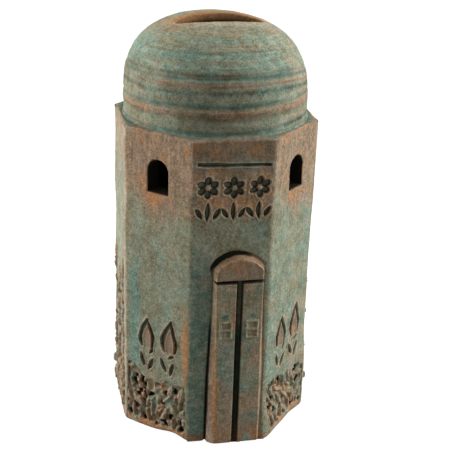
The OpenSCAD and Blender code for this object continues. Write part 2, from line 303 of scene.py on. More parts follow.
def soft_step(value, low, high):
    """Rises softly from 0 at low to 1 at high."""
    part = np.clip((value - low) / (high - low), 0, 1)
    return part * part * (3 - 2 * part)


def hump(value, middle, width):
    """A soft hump of height 1 round a middle value."""
    return np.exp(-(((value - middle) / width) ** 2))


def lumps(points, size, seed):
    """Soft random lumps of one size at places in space, from about -1 to 1."""
    cells = 32
    lattice = np.random.default_rng(seed).uniform(-1, 1, (cells, cells, cells))
    spots = points / size
    cell = np.floor(spots).astype(int)
    part = spots - cell
    part = part * part * (3 - 2 * part)
    value = np.zeros(len(points))
    for corner in product((0, 1), repeat=3):
        share = np.where(corner, part, 1 - part).prod(axis=1)
        index = (cell + corner) % cells
        value += share * lattice[index[:, X], index[:, Y], index[:, Z]]
    return value


def hand_marks(points):
    """The unevenness that hands and a scraper leave in the clay."""
    slow = 0.2 * lumps(points, 15, 1) + 0.1 * lumps(points, 5, 2)
    scraped = 0.03 * lumps(points * (1, 1, 0.15), 1.4, 3)
    return slow + scraped + 0.05 * lumps(points, 1.1, 4)


def blank_masks(count):
    """The masks of a number of points, all at 0."""
    return {mask: np.zeros(count) for mask in MASKS}


def deepen(masks, mask, values):
    """Raises a mask where the new values are higher."""
    masks[mask] = np.maximum(masks[mask], values)


def turned(points, angle):
    """Points turned round the upright axis."""
    c, s = math.cos(angle), math.sin(angle)
    return points @ np.array([[c, s, 0], [-s, c, 0], [0, 0, 1]])


def on_body(wall, s, z):
    """Places on the smooth body, and the way out from there: s runs along a wall and round its arrises."""
    bend = np.clip(np.abs(s) - FLAT_HALF, 0, None) / ARRIS_R
    along = np.sign(s) * (np.minimum(np.abs(s), FLAT_HALF) + ARRIS_R * np.sin(bend))
    out = -APOTHEM + ARRIS_R * (1 - np.cos(bend))
    points = turned(np.stack([along, out, z], axis=1), wall * TURN)
    normals = turned(np.stack([np.sign(s) * np.sin(bend), -np.cos(bend), 0 * z], axis=1), wall * TURN)
    return points, normals


def seen_from(u, z, foot, angle):
    """Places on a wall as seen from a foot point, sideways from and along an axis turned from upright."""
    a = math.radians(angle)
    right, up = u - foot[0], z - foot[1]
    return right * math.cos(a) + up * math.sin(a), up * math.cos(a) - right * math.sin(a)


def stem_gap(u, z, foot, angle, length, width):
    """Distance from the edge of a straight stem, negative inside."""
    across, along = seen_from(u, z, foot, angle)
    return np.hypot(across, along - np.clip(along, 0, length)) - width / 2


def blade_gap(u, z, foot, angle, length, width):
    """Distance from the edge of a leaf that is pointed at both ends, negative inside."""
    across, along = seen_from(u, z, foot, angle)
    radius = (length ** 2 + width ** 2) / (4 * width)
    off = radius - width / 2
    rise = along - length / 2
    return np.maximum(np.hypot(across - off, rise), np.hypot(across + off, rise)) - radius


def window_gap(u, z):
    """Distance from the window's outline, negative inside."""
    spring = WINDOW_TOP - WINDOW_HALF
    arch = np.hypot(u, z - spring) - WINDOW_HALF
    beside = np.abs(u) - WINDOW_HALF
    below = WINDOW_SILL - z
    outside = np.hypot(np.maximum(beside, 0), np.maximum(below, 0))
    return np.where(z > spring, arch, outside + np.minimum(np.maximum(beside, below), 0))


def door_draw_in(z):
    """How far the foot of the door's slopes is drawn in: they are steep at the head and spread below."""
    return DOOR_DRAW_IN * soft_step(z, *DRAW_IN_Z)


def door_gap(u, z):
    """Distance from the door's sloped outline where it meets the wall, negative inside."""
    beside = np.abs(u - DOOR_MIDDLE) - DOOR_HALF
    arch = np.hypot(u - DOOR_MIDDLE, z - (DOOR_TOP - ARCH_R)) - ARCH_R
    return np.where(z > DOOR_TOP - ARCH_R, np.maximum(beside, arch), beside) + door_draw_in(z)


def scoop(gap):
    """How deep a tool has cut at a distance from a stroke's edge, from 0 to 1."""
    return np.sqrt(np.clip(-gap / TOOL_R, 0, 1))


def frieze_gap(u, z):
    """Distance from the strokes at the top of the front wall: a line over three rosettes on their stems."""
    line_z = LINE_Z + LINE_TILT * u
    gap = np.maximum(np.abs(u) - LINE_HALF, np.abs(z - line_z) - LINE_HALF_H)
    for k in (-1, 0, 1):
        middle = k * ROSETTE_PITCH
        for petal in range(6):
            a = math.radians(60 * petal)
            foot = (middle - HUB_R * math.sin(a), ROSETTE_Z + HUB_R * math.cos(a))
            gap = np.minimum(gap, blade_gap(u, z, foot, 60 * petal, ROSETTE_R - HUB_R, PETAL_W))
        root = ROSETTE_Z - ROSETTE_R - STROKE_W / 2 - FLOWER_STEM_L
        gap = np.minimum(gap, blade_gap(u, z, (middle, root), 0, FLOWER_STEM_L, STROKE_W))
        for side in (-1, 1):
            foot = (middle + side * STROKE_W, root + STROKE_W / 2)
            gap = np.minimum(gap, blade_gap(u, z, foot, -side * FLOWER_LEAF_ANGLE, FLOWER_LEAF_L, STROKE_W))
    return gap


def flame_gap(u, z, foot, length, sway):
    """A leaf drawn like a flame with two strokes: distance from the strokes, and from its outline."""
    t = (z - foot[1]) / length
    low = 1 - 0.3 * (np.clip(SPRIG_BELLY - t, 0, None) / SPRIG_BELLY) ** 2
    high = np.cos(math.pi / 2 * np.clip((t - SPRIG_BELLY) / (1 - SPRIG_BELLY), 0, 1)) ** 1.5
    half = SPRIG_HALF * np.where(t < SPRIG_BELLY, low, high)
    middle = foot[0] + sway * (0.6 * (1 - t) ** 2 + t * t)
    outline = np.abs(u - middle) - half
    inside = np.clip(t * (1 - t) * 4, 0, 1)
    stroke = np.abs(outline) - SPRIG_W / 2 * np.sqrt(inside)
    beyond = np.maximum(-t, t - 1) * length
    return np.maximum(stroke, beyond), np.maximum(outline, beyond)


def sprig_gap(u, z, shift):
    """The pair of carved leaves on a wall: distance from the strokes, and from the leaves' outlines."""
    gap = np.full(len(u), FAR)
    face = np.full(len(u), FAR)
    for side in (-1, 1):
        foot = (side * SPRIG_PITCH / 2 + shift, SPRIG_FOOT + 0.3 * side)
        stroke, outline = flame_gap(u, z, foot, SPRIG_L + 0.6 * side, 0.6 + 0.7 * side)
        gap = np.minimum(gap, stroke)
        face = np.minimum(face, outline)
        curl_foot = (foot[0] + 0.7 - 0.5 * side, foot[1] - CURL_DROP)
        gap = np.minimum(gap, blade_gap(u, z, curl_foot, -CURL_ANGLE - 15 * side, *CURL))
        for hand in (-1, 1):
            bract_z = foot[1] - BRACT_L - BRACT_DROP - 0.5 * hand
            bract_foot = (foot[0] + 0.2 * side + hand * BRACT_ASIDE, bract_z)
            bract = blade_gap(u, z, bract_foot, -hand * BRACT_ANGLE + 3 * side, BRACT_L, SPRIG_W)
            gap = np.minimum(gap, bract)
    return gap, face


def foliage_stems(wall):
    """The stems of a wall's foliage, each as its foot, lean, length and the leaves that it carries."""
    root = BED_FOOT + GROUND_H
    low_l = BED_TOP - root - BLADE[0] + STEM_W / 2
    found = []
    for k in range(STEMS):
        foot = ((k - (STEMS - 1) / 2) * STEM_PITCH, root)
        lean = STEM_LEAN * math.cos(math.radians(110 * k + FOLIAGE_PHASE[wall]))
        fork = low_l - FORK_DROP
        leaves = [(low_l - STEM_W / 2, 0), (fork, FORK_ANGLE), (fork, -FORK_ANGLE)]
        found.append((foot, lean, low_l, leaves))
    if wall in TALL_WALLS:
        for side in (-1, 0, 1):
            length = TALL_TOP - root - BLADE[0] + STEM_W / 2 - (0 if side else FORK_PITCH)
            hand = 1 if side else -1
            forks = int((length - FORK_DROP) // FORK_PITCH)
            leaves = [(length - STEM_W / 2, 0)]
            for k in range(forks + 1):
                leaves.append((length - FORK_DROP - k * FORK_PITCH, hand * FORK_ANGLE * (-1) ** k))
            found.append(((side * (STEMS - 1) / 2 * STEM_PITCH, root), 0, length, leaves))
    return found


def foliage_gaps(wall, u, z):
    """Distance from each stem and leaf of a wall's foliage, with its half width and the way to its rib."""
    for foot, lean, length, leaves in foliage_stems(wall):
        yield stem_gap(u, z, foot, lean, length, STEM_W), STEM_W / 2, None
        for along, fork in leaves:
            a = math.radians(lean)
            base = (foot[0] - along * math.sin(a), foot[1] + along * math.cos(a))
            rib, _ = seen_from(u, z, base, lean + fork)
            yield blade_gap(u, z, base, lean + fork, *BLADE), BLADE[1] / 2, rib


def foliage_reach(wall, base, u, z):
    """Where the foliage lies on a wall, from 0 to 1."""
    ragged = BED_TOP - 0.5 + 1.8 * lumps(base * (1, 1, 0), 4, 55)
    if wall == FRONT_LEFT:
        ragged += 2.5 * soft_step(-u, 4, 11)
    near = 1 - soft_step(z, ragged - 0.9, ragged + 0.9)
    if wall in TALL_WALLS:
        for gap, _, _ in foliage_gaps(wall, u, z):
            near = np.maximum(near, 1 - soft_step(gap, 0.5, 1.6))
    near *= 1 - soft_step(np.abs(u), BED_HALF - 0.6, BED_HALF + 0.4)
    return near * soft_step(z, BED_FOOT - 0.2, BED_FOOT + 0.7)


def foliage_level(wall, base, u, z):
    """The height of the carved foliage over the wall: ridges of leaves and stems between dark gouges."""
    u = u + 0.5 * lumps(base, 3.2, 56)
    z = z + 0.5 * lumps(base, 3.2, 57)
    tall = wall in TALL_WALLS
    ridge_h = TALL_RIDGE if tall else RIDGE
    level = 0.4 - 1.5 * np.minimum(1.5 * np.abs(lumps(base, 2.5, 53)), 1)
    rng = np.random.default_rng(50 + wall)

    def ridge(gap, half, height):
        inside = np.clip(-gap / half, 0, 1)
        crown = np.sqrt(inside * (2 - inside))
        np.maximum(level, -0.6 + (height + 0.6) * crown, out=level)

    def groove(gap, depth):
        np.subtract(level, depth * hump(gap, 0.5, 0.5), out=level)

    for gap, half, rib in foliage_gaps(wall, u, z):
        groove(gap, rng.uniform(*LEAF_GROOVE))
        vein = 0 if rib is None else VEIN_DEPTH * hump(rib, 0, VEIN_W)
        ridge(gap, half, ridge_h * rng.uniform(*LEAF_SWELL) - vein)
    for _ in range(TWIGS):
        foot = (rng.uniform(-BED_HALF + 1, BED_HALF - 1), rng.uniform(BED_FOOT + GROUND_H, BED_TOP - 4))
        gap = stem_gap(u, z, foot, rng.uniform(*TWIG_LEAN), rng.uniform(*TWIG_L), rng.uniform(*TWIG_W))
        groove(gap, rng.uniform(*TWIG_GROOVE))
        ridge(gap, 0.7, ridge_h * rng.uniform(*TWIG_SWELL))
    top = TALL_TOP if tall else BED_TOP
    for k in range(GOUGES + (TALL_GOUGES if tall else 0)):
        high = top if k >= GOUGES else BED_TOP
        foot = (rng.uniform(-BED_HALF, BED_HALF), rng.uniform(BED_FOOT + GROUND_H, high - 2))
        gap = blade_gap(u, z, foot, rng.uniform(*GOUGE_LEAN), rng.uniform(*GOUGE_L), rng.uniform(*GOUGE_W))
        level = level - rng.uniform(*GOUGE_DEPTH) * soft_step(-gap, -0.3, 0.7)
    strip = 1 - soft_step(z, BED_FOOT + GROUND_H - 1.2, BED_FOOT + GROUND_H)
    level = level * (1 - strip) + 0.15 * strip
    dot_pitch = 2 * (BED_HALF - 1.5) / STEMS
    for k in range(STEMS + 1):
        place = (k - STEMS / 2) * dot_pitch + rng.uniform(-0.8, 0.8)
        dot = np.hypot(u - place, (z - BED_FOOT - GROUND_H + rng.uniform(-0.5, 0.7)) / 0.8)
        level = level - 1.5 * soft_step(-dot, -1.2, -0.5)
    if tall:
        level = level + 0.6 * hump(z, 12, 6)
    if wall == LEFT:
        level = level - 0.9 * hump(z, 41, 7) * soft_step(-u, 5, 11)
    return np.clip(level, -SUNK + 0.2, RAISED)


def paleness(wall):
    """How much less ruddy a wall's foot was fired. The front-right wall stayed pale."""
    return PALE_FOOT if wall == FRONT_RIGHT else 0


def lay_patches(masks, patches, s, z, glow=1):
    """Lays soft patches on a wall. The glow scales the orange ones."""
    for mask, strength, along, half_w, up, half_h in patches:
        scale = glow if mask == "orange" else 1
        deepen(masks, mask, scale * strength * hump(s, along, half_w) * hump(z, up, half_h))


def wash_masks(wall, base, s, z):
    """How the wash and the bare clay vary over a wall before anything is carved."""
    masks = blank_masks(len(s))
    cloud = lumps(base, 11, 11)
    drift = lumps(base * (1, 1, 0.4), 4.5, 12)
    over_edge = z + 9 * cloud + 5 * drift - BARE_FROM.get(wall, BARE_FROM_ELSEWHERE)
    bare = 0.9 if wall == FRONT_LEFT else 0.65
    masks["warm"] = 0.16 + 0.1 * cloud + bare * soft_step(over_edge, -BARE_BLEND, BARE_BLEND)
    deepen(masks, "warm", (0.95 - paleness(wall)) * (1 - soft_step(z + 1.5 * cloud + drift, 1.5, 4.5)))
    masks["teal"] = 0.2 + 0.25 * drift + 0.2 * cloud
    if wall == FRONT:
        left = soft_step(-s, 3, 9) * (1 - soft_step(z + 5 * drift, 70, 88)) * (0.85 + 0.3 * cloud)
        deepen(masks, "teal", 0.95 * left)
        deepen(masks, "warm", 0.75 * soft_step(z + 3 * drift, 84, 91))
        deepen(masks, "cut", 0.34 * soft_step(z + 2 * drift, 100, 106))
    if wall == FRONT_LEFT:
        strip = hump(s, -9.6, 2.3) * (0.3 + 0.9 * (1 - soft_step(z + 4 * drift, 58, 74)))
        deepen(masks, "teal", strip)
        masks["warm"] *= 1 - 0.7 * np.minimum(strip, 1)
    if wall == FRONT_RIGHT:
        deepen(masks, "teal", 0.46 + 0.25 * cloud)
        fall = z - 0.42 * s + 2 * drift
        streak = hump(fall, 66.5, 3.2) * (0.62 + 0.5 * cloud)
        below = 1 - soft_step(fall, 56, 64)
        deepen(masks, "teal", np.maximum(streak, 0.55 * below * (1 - soft_step(s, -6, 2))))
        deepen(masks, "warm", 0.34 * below * soft_step(s, -2, 5))
        masks["warm"] *= 1 - 0.8 * streak
    lay_patches(masks, WALL_PATCHES.get(wall, ()), s, z)
    edge = np.abs(s) - FLAT_HALF
    wear = 0.35 + 0.45 * lumps(base * (1, 1, 0.3), 6, 15)
    if wall in (FRONT_LEFT, LEFT):
        wear = wear + 0.45 * soft_step(-s if wall == FRONT_LEFT else s, 9, 12)
    masks["rub"] = wear * soft_step(edge + 0.5 * drift, -0.3, 0.6)
    if wall == FRONT_LEFT:
        deepen(masks, "orange", 0.95 * soft_step(s + drift, 9.6, 11.6) * hump(z + 4 * drift, 37, 15))
    if wall == LEFT:
        masks["warm"] *= 0.7
        masks["teal"] += 0.35
        masks["rub"] += 0.45
    blushing = 0.08 if wall == FRONT_RIGHT else 0.25
    masks["orange"] += blushing * soft_step(cloud - drift, 0.3, 0.9) * soft_step(z, 88, 100)
    foot_glow = 0.55 - paleness(wall) + 0.3 * cloud
    deepen(masks, "orange", foot_glow * (1 - soft_step(z + 0.6 * drift, 0.6, 2.6)))
    deepen(masks, "rub", (0.25 + 0.3 * cloud) * soft_step(z, BODY_H - 2, BODY_H - 0.5))
    return masks


def foot_rounding(wall, s, base):
    """The radius of the soft lower edge: largest on the front-left wall, and sharp behind the door's gap."""
    radius = (FRONT_FOOT_ROUND if wall == FRONT else FOOT_ROUND) + 0.4 * lumps(base * (1, 1, 0), 9, 16)
    if wall == FRONT_LEFT:
        radius += (SOFT_FOOT_ROUND - FOOT_ROUND) * hump(s, 7, 5)
    if wall == FRONT:
        radius[np.abs(s - GAP_MIDDLE) < GAP_REACH] = 0.1
    return radius


def flare(wall, s, z):
    """How far the body stands out at the foot of its two right-hand corners, where the clay was pressed."""
    out = 0 * s
    if wall in (FRONT_RIGHT, RIGHT):
        to_corner = s if wall == FRONT_RIGHT else -s
        out += RIGHT_CORNER_FLARE * soft_step(to_corner, 4, 13) * (1 - soft_step(z, 17, 34))
    low = 1 - soft_step(z, 2, 20)
    if wall == FRONT:
        out += DOOR_CORNER_FLARE * soft_step(s, 4, 13) * low
    if wall == FRONT_RIGHT:
        out += DOOR_CORNER_FLARE * np.clip((FACE_HALF - s) / (2 * FACE_HALF), 0, 1) * low
    return out


def wall_face(wall, s, z):
    """A wall's outer skin with its carving: the places, outward directions, heights and masks."""
    base, normal = on_body(wall, s, z)
    height = hand_marks(base)
    masks = wash_masks(wall, base, s, z)
    height += flare(wall, s, z)
    radius = foot_rounding(wall, s, base)
    height -= radius - np.sqrt(radius ** 2 - np.clip(radius - z, 0, radius) ** 2)
    wave_u = s + 0.35 * lumps(base, 3, 13)
    wave_z = z + 0.35 * lumps(base, 3, 14)
    if wall == FRONT:
        gap = frieze_gap(wave_u, wave_z)
        between = hump(z, ROSETTE_Z - 4, 7) * (1 - soft_step(np.abs(s), 11, 13))
        deepen(masks, "orange", 0.5 * between)
        carve(height, masks, gap, dark=0.44, rim=0.9)
        by_line = hump(z, LINE_Z + LINE_TILT * s + 0.3, 2)
        masks["warm"] *= 1 - 0.6 * by_line
        deepen(masks, "teal", 0.5 * by_line)
        door_foot(height, masks, s, z)
    if wall in SPRIG_WALLS:
        gap, leaf = sprig_gap(wave_u, wave_z, SPRIG_WALLS[wall])
        carve(height, masks, gap, dark=0.42, rim=0.8)
        deepen(masks, "warm", 0.8 * soft_step(-leaf, -0.4, 0.6))
        deepen(masks, "cut", 0.3 * soft_step(-leaf, -0.4, 0.6))
    if wall in WINDOW_WALLS:
        gap = window_gap(s, z)
        lip = np.clip(WINDOW_ROUND - gap, 0, WINDOW_ROUND)
        height -= WINDOW_ROUND - np.sqrt(WINDOW_ROUND ** 2 - lip ** 2)
        # Dark round the window's edge: painted shade of the hollow inside
        deepen(masks, "cut", 1 - soft_step(gap, 0.15, 0.55))
        deepen(masks, "warm", 0.85 * hump(np.clip(gap, 0, None), 0, 3))
        lay_patches(masks, WINDOW_PATCHES, s, z, 0.6 if wall == FRONT_RIGHT else 1)
    return base, normal, height, masks


def carve(height, masks, gap, dark, rim):
    """Cuts strokes into a wall. The tool throws up a pale burr beside them, and pooled wash and painted
    shade darken them, most near their walls.
    """
    cut = scoop(gap)
    burr = hump(gap, 0.3, 0.3) * (gap > 0)
    height += BURR * burr - CARVE * cut
    stroke = soft_step(cut, 0.1, 0.75)
    deepen(masks, "cut", stroke * (dark + (rim - dark) * hump(gap, -0.2, 0.22)))
    for mask in ("warm", "orange"):
        masks[mask] *= 1 - 0.8 * stroke
    deepen(masks, "teal", 0.25 * stroke)
    deepen(masks, "rub", 0.8 * burr)


def door_foot(height, masks, s, z):
    """The crease where the door meets the front wall, with painted shadow in it that is darkest on the left
    and over the arch, and the clay in the foot of the door's gap, painted with shade.
    """
    gap = door_gap(s, z)
    leftness = soft_step(DOOR_MIDDLE - s, -6, 3)
    over_arch = soft_step(z, DOOR_TOP - 10, DOOR_TOP - 2)
    low = 1 - soft_step(z, 10, 55)
    crease = hump(np.clip(gap, 0, None), 0, 0.3 + (0.5 * low + 1.5 * over_arch) * leftness)
    height -= (0.2 + 0.7 * leftness) * crease
    deep_shadow = leftness * np.maximum(1 - soft_step(z, 40, 56), soft_step(over_arch, 0.2, 0.6))
    # Painted shadow in the crease, darkest low on the left jamb and over the arch
    deepen(masks, "cut", (0.3 + 0.55 * deep_shadow) * soft_step(crease, 0.15, 0.7 + 0.2 * low))
    raised = (np.abs(s - GAP_MIDDLE) < GAP_REACH) * (1 - soft_step(z, HEAD_FOOT, HEAD_FOOT + 1))
    height += (GAP_FLOOR + 1.5 * (1 - soft_step(z, 1, 9))) * raised
    # Painted shade on the clay in the foot of the gap, darker on its left
    deepen(masks, "cut", (0.34 + 0.38 * soft_step(GAP_MIDDLE - s, -0.4, 0.6)) * raised)


def body_skin(wall, s, z):
    """The body's outer skin on a wall, sunk where the foliage piece covers it, and its masks."""
    base, normal, height, masks = wall_face(wall, s, z)
    if wall in FOLIAGE_PHASE:
        near = foliage_reach(wall, base, s, z)
        height -= SUNK * soft_step(near, 0.45, 0.95)
    return base + normal * height[:, None], masks


def slab_form(columns, rows, hole=None):
    """A flat slab, 1 by 1, with a fine grid in front at 0 and its back at -1. The hole is a gap function."""
    bm = bmesh.new()
    bmesh.ops.create_grid(bm, x_segments=columns, y_segments=rows, size=0.5)
    bmesh.ops.translate(bm, verts=bm.verts, vec=(0.5, 0.5, 0))
    if hole:
        faces = bm.faces[:]
        inside = hole(np.array([f.calc_center_median() for f in faces])) < 0
        gone = [f for f, within in zip(faces, inside) if within]
        bmesh.ops.delete(bm, geom=gone, context="FACES")
        edge = [v for v in bm.verts if v.is_boundary and 0 < v.co.x < 1 and 0 < v.co.y < 1]
        drawn = drawn_to_edge(np.array([v.co for v in edge]), hole)
        for v, spot in zip(edge, drawn):
            v.co = spot
    rim = [e for e in bm.edges if e.is_boundary]
    made = bmesh.ops.extrude_edge_only(bm, edges=rim)["geom"]
    back = [v for v in made if isinstance(v, bmesh.types.BMVert)]
    bmesh.ops.translate(bm, verts=back, vec=(0, 0, -1))
    open_edges = [e for e in bm.edges if e.is_boundary]
    bmesh.ops.triangle_fill(bm, edges=open_edges, normal=(0, 0, -1))
    return bm


def drawn_to_edge(spots, gap):
    """Flat points moved onto the outline that a gap function gives."""
    step = 1e-4
    for _ in range(3):
        here = gap(spots)
        slope = np.zeros_like(spots)
        for axis in (X, Y):
            aside = np.zeros(3)
            aside[axis] = step
            slope[:, axis] = (gap(spots + aside) - here) / step
        spots = spots - slope * (here / np.maximum((slope ** 2).sum(axis=1), 1e-9))[:, None]
    return spots


def ring_form(columns, rings):
    """A closed tube of rings of radius 1, stacked along Z and joined from the last to the first."""
    bm = bmesh.new()
    bmesh.ops.create_circle(bm, cap_ends=False, radius=1, segments=columns)
    first = bm.edges[:]
    last = first
    for _ in range(rings - 1):
        made = bmesh.ops.extrude_edge_only(bm, edges=last)["geom"]
        fresh = {v for v in made if isinstance(v, bmesh.types.BMVert)}
        bmesh.ops.translate(bm, verts=list(fresh), vec=(0, 0, 1))
        last = [e for e in made if isinstance(e, bmesh.types.BMEdge) and set(e.verts) <= fresh]
    bmesh.ops.bridge_loops(bm, edges=first + last)
    return bm


def fired(node, bm, place, finish):
    """Makes a piece of the box from its form. place gives each point's place and its masks."""
    mesh = bpy.data.meshes.new(node + "_clay")
    bm.to_mesh(mesh)
    flat = np.empty(3 * len(mesh.vertices))
    mesh.vertices.foreach_get("co", flat)
    points, masks = place(flat.reshape(-1, 3))
    mesh.vertices.foreach_set("co", (points * MM).ravel())
    for mask, values in masks.items():
        mesh.attributes.new(mask, "FLOAT", "POINT").data.foreach_set("value", np.clip(values, 0, 1))
    wheel = mesh.attributes.new("wheel", "FLOAT_VECTOR", "POINT")
    wheel.data.foreach_set("vector", on_wheel(points).ravel())
    bm.clear()
    bm.from_mesh(mesh)
    bmesh.ops.recalc_face_normals(bm, faces=bm.faces)
    bm.to_mesh(mesh)
    bm.free()
    mesh.shade_smooth()
    mesh.set_sharp_from_angle(angle=CREASE_ANGLE)
    mesh.materials.append(finish)
    piece = bpy.data.objects.new(node + "_clay", mesh)
    bpy.context.scene.collection.objects.link(piece)
    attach(piece, "box")
    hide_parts(node)
    return piece


def on_wheel(points):
    """Places as a turning wheel sees them: a short way round, and the full way along the profile."""
    radius = np.maximum(np.hypot(points[:, X], points[:, Y]), 0.1)
    short_round = 2.5
    x, y = points[:, X] / radius, points[:, Y] / radius
    return np.stack([short_round * x, short_round * y, points[:, Z] - radius], axis=1)


def wall_piece(wall, finish):
    """A wall slab with its carving, mitred to its neighbours."""
    inner_half = (APOTHEM - WALL_T) * math.tan(TURN / 2)

    def spread(flat):
        s = (2 * flat[:, X] - 1) * WRAP_HALF
        return s, FLOOR_T + (DECK_FOOT - FLOOR_T) * flat[:, Y]

    def place(flat):
        s, z = spread(flat)
        points, masks = body_skin(wall, s, z)
        behind = flat[:, Z] < -0.5
        back = np.stack([np.clip(s, -inner_half, inner_half), 0 * s - APOTHEM + WALL_T, z], axis=1)
        points[behind] = turned(back, wall * TURN)[behind]
        # The back faces inside the box are painted dark: painted shade
        masks["cut"][behind] = 1
        return points, masks

    def hole(spots):
        return window_gap(*spread(spots))

    bm = slab_form(ACROSS, WALL_ROWS, hole if wall in WINDOW_WALLS else None)
    fired("wall_" + WALL_NAMES[wall], bm, place, finish)


def steps_across():
    """The steps of a ring across one wall and round its arrises."""
    return np.linspace(-WRAP_HALF, WRAP_HALF, ACROSS, endpoint=False)


def body_ring(z, inset=0.0):
    """One level ring of the body's skin all round, drawn in by an inset, with its masks."""
    s = steps_across()
    level = np.full(ACROSS, float(z))
    places, masks = [], []
    for wall in range(SIDES):
        points, found = body_skin(wall, s, level)
        _, normal = on_body(wall, s, level)
        places.append(points - normal * inset)
        masks.append(found)
    joined = {mask: np.concatenate([m[mask] for m in masks]) for mask in MASKS}
    return np.concatenate(places), joined


def round_ring(radius, z, **values):
    """A level circle with a point for each point of the body's rings, with plain masks."""
    skin, _ = on_body(FRONT, steps_across(), np.zeros(ACROSS))
    around = np.concatenate([turned(skin, wall * TURN) for wall in range(SIDES)])
    around *= radius / np.hypot(around[:, X], around[:, Y])[:, None]
    around[:, Z] = z
    masks = {mask: np.full(len(around), values.get(mask, 0.0)) for mask in MASKS}
    return around, masks


def ring_piece(node, rings, finish):
    """A piece made of closed rings, each with its masks."""
    columns = len(rings[0][0])
    places = np.stack([points for points, _ in rings])
    looks = {mask: np.stack([masks[mask] for _, masks in rings]) for mask in MASKS}

    def place(flat):
        around = np.arctan2(flat[:, Y], flat[:, X]) / (2 * math.pi) * columns
        column = np.rint(around).astype(int) % columns
        ring = np.rint(flat[:, Z]).astype(int)
        return places[ring, column], {mask: looks[mask][ring, column] for mask in MASKS}

    fired(node, ring_form(columns, len(rings)), place, finish)


def floor_slab(finish):
    """The slab under the walls, with a softened foot and the hole for the stopper."""
    levels = FLOOR_T * (1 - np.sin(np.radians(np.linspace(0, 90, FLOOR_LEVELS))))
    rings = [body_ring(z) for z in levels]
    chamfer = 0.5
    recess = ((RECESS_R + chamfer, 0), (RECESS_R, chamfer), (RECESS_R, RECESS_H))
    for radius, z in (*recess, (BORE_R, RECESS_H), (BORE_R, FLOOR_T)):
        rings.append(round_ring(radius, z, warm=1))
    ring_piece("floor_slab", rings, finish)


def deck_slab(finish):
    """The slab over the walls: its shoulder is soft, and its top falls to the corners."""
    inner_r = DOME_R - DOME_T
    shoulder_z = BODY_H - SHOULDER_ROUND
    rings = [body_ring(z) for z in np.linspace(DECK_FOOT, shoulder_z, DECK_LEVELS)]
    for a in np.radians((18, 36, 54, 72, 90)):
        points, masks = body_ring(shoulder_z, SHOULDER_ROUND * (1 - math.cos(a)))
        points[:, Z] += SHOULDER_ROUND * math.sin(a)
        rings.append(fallen(points, masks))
    # Painted shade: the ledge darkens towards the dome's foot, and the inner faces are painted dark inside
    # the box
    inner = round_ring(DOME_R + 0.1, BODY_H - 0.05, teal=0.9, cut=0.5)
    edge_points, edge_masks = rings[-1]
    for part in (0.15, 0.3, 0.5, 0.75):
        points = edge_points * (1 - part) + inner[0] * part
        points[:, Z] = BODY_H
        masks = {mask: edge_masks[mask] * (1 - part) ** 2 for mask in MASKS}
        masks["teal"] = np.full(len(points), 0.7 + 0.3 * part)
        masks["cut"] = np.full(len(points), 0.32 + 0.12 * part)
        rings.append(fallen(points, masks))
    rings.append(inner)
    rings.append(round_ring(inner_r, BODY_H - 0.05, cut=1))
    rings.append(round_ring(inner_r, DECK_FOOT, cut=1))
    ring_piece("deck_slab", rings, finish)


def fallen(points, masks):
    """A ring of the deck's top, let down towards the corners."""
    beyond = np.hypot(points[:, X], points[:, Y]) - DOME_R - COIL_W
    points[:, Z] -= DECK_FALL * np.clip(beyond / 3, 0, 1)
    return points, masks


def luting_coil(finish):
    """The soft coil round the dome's foot, hollowed by a fingertip."""
    rings = []
    hollow = COIL_W + 0.2
    for a in np.radians(np.linspace(0, 90, COIL_LEVELS)):
        radius = DOME_R + COIL_W - hollow * math.cos(a)
        z = BODY_H + COIL_W - hollow * math.sin(a)
        # Painted shade in the hollow, strongest where the coil meets the dome
        points, masks = round_ring(radius, z, teal=0.85, cut=0.4 * math.cos(a))
        points += 0.12 * lumps(points, 4, 21)[:, None] * (0, 0, 1)
        masks["warm"] = 0.5 + 0.5 * lumps(points, 6, 22) - 0.5 * math.cos(a)
        rings.append((points, masks))
    rings.append(round_ring(DOME_R + COIL_W + 0.1, BODY_H - COIL_SUNK, teal=1))
    rings.append(round_ring(DOME_R - COIL_LAP, BODY_H - COIL_SUNK, teal=1))
    rings.append(round_ring(DOME_R - COIL_LAP, BODY_H + COIL_W - 0.2, teal=1))
    ring_piece("luting_coil", rings, finish)


def cap_profile(radius, height):
    """The dome's profile from its foot to its crown, as radius and height over the deck."""
    a = np.radians(np.linspace(0, 90, PROFILE_STEPS))
    r = np.concatenate([[radius], radius * np.cos(a) ** (2 / CAP_POWER)])
    z = np.concatenate([[0], DRUM_H + height * np.sin(a) ** (2 / CAP_POWER)])
    return r, z


def slot_outline(angle, widen):
    """The lens-shaped coin slot in plan, widened all round."""
    x = (SLOT_HALF_L + widen) * np.cos(angle)
    y = (SLOT_HALF_W + widen) * np.sign(np.sin(angle)) * np.abs(np.sin(angle)) ** 1.5
    flat = np.stack([x, y - SLOT_FORWARD, 0 * x], axis=1)
    return turned(flat, SLOT_TURN)


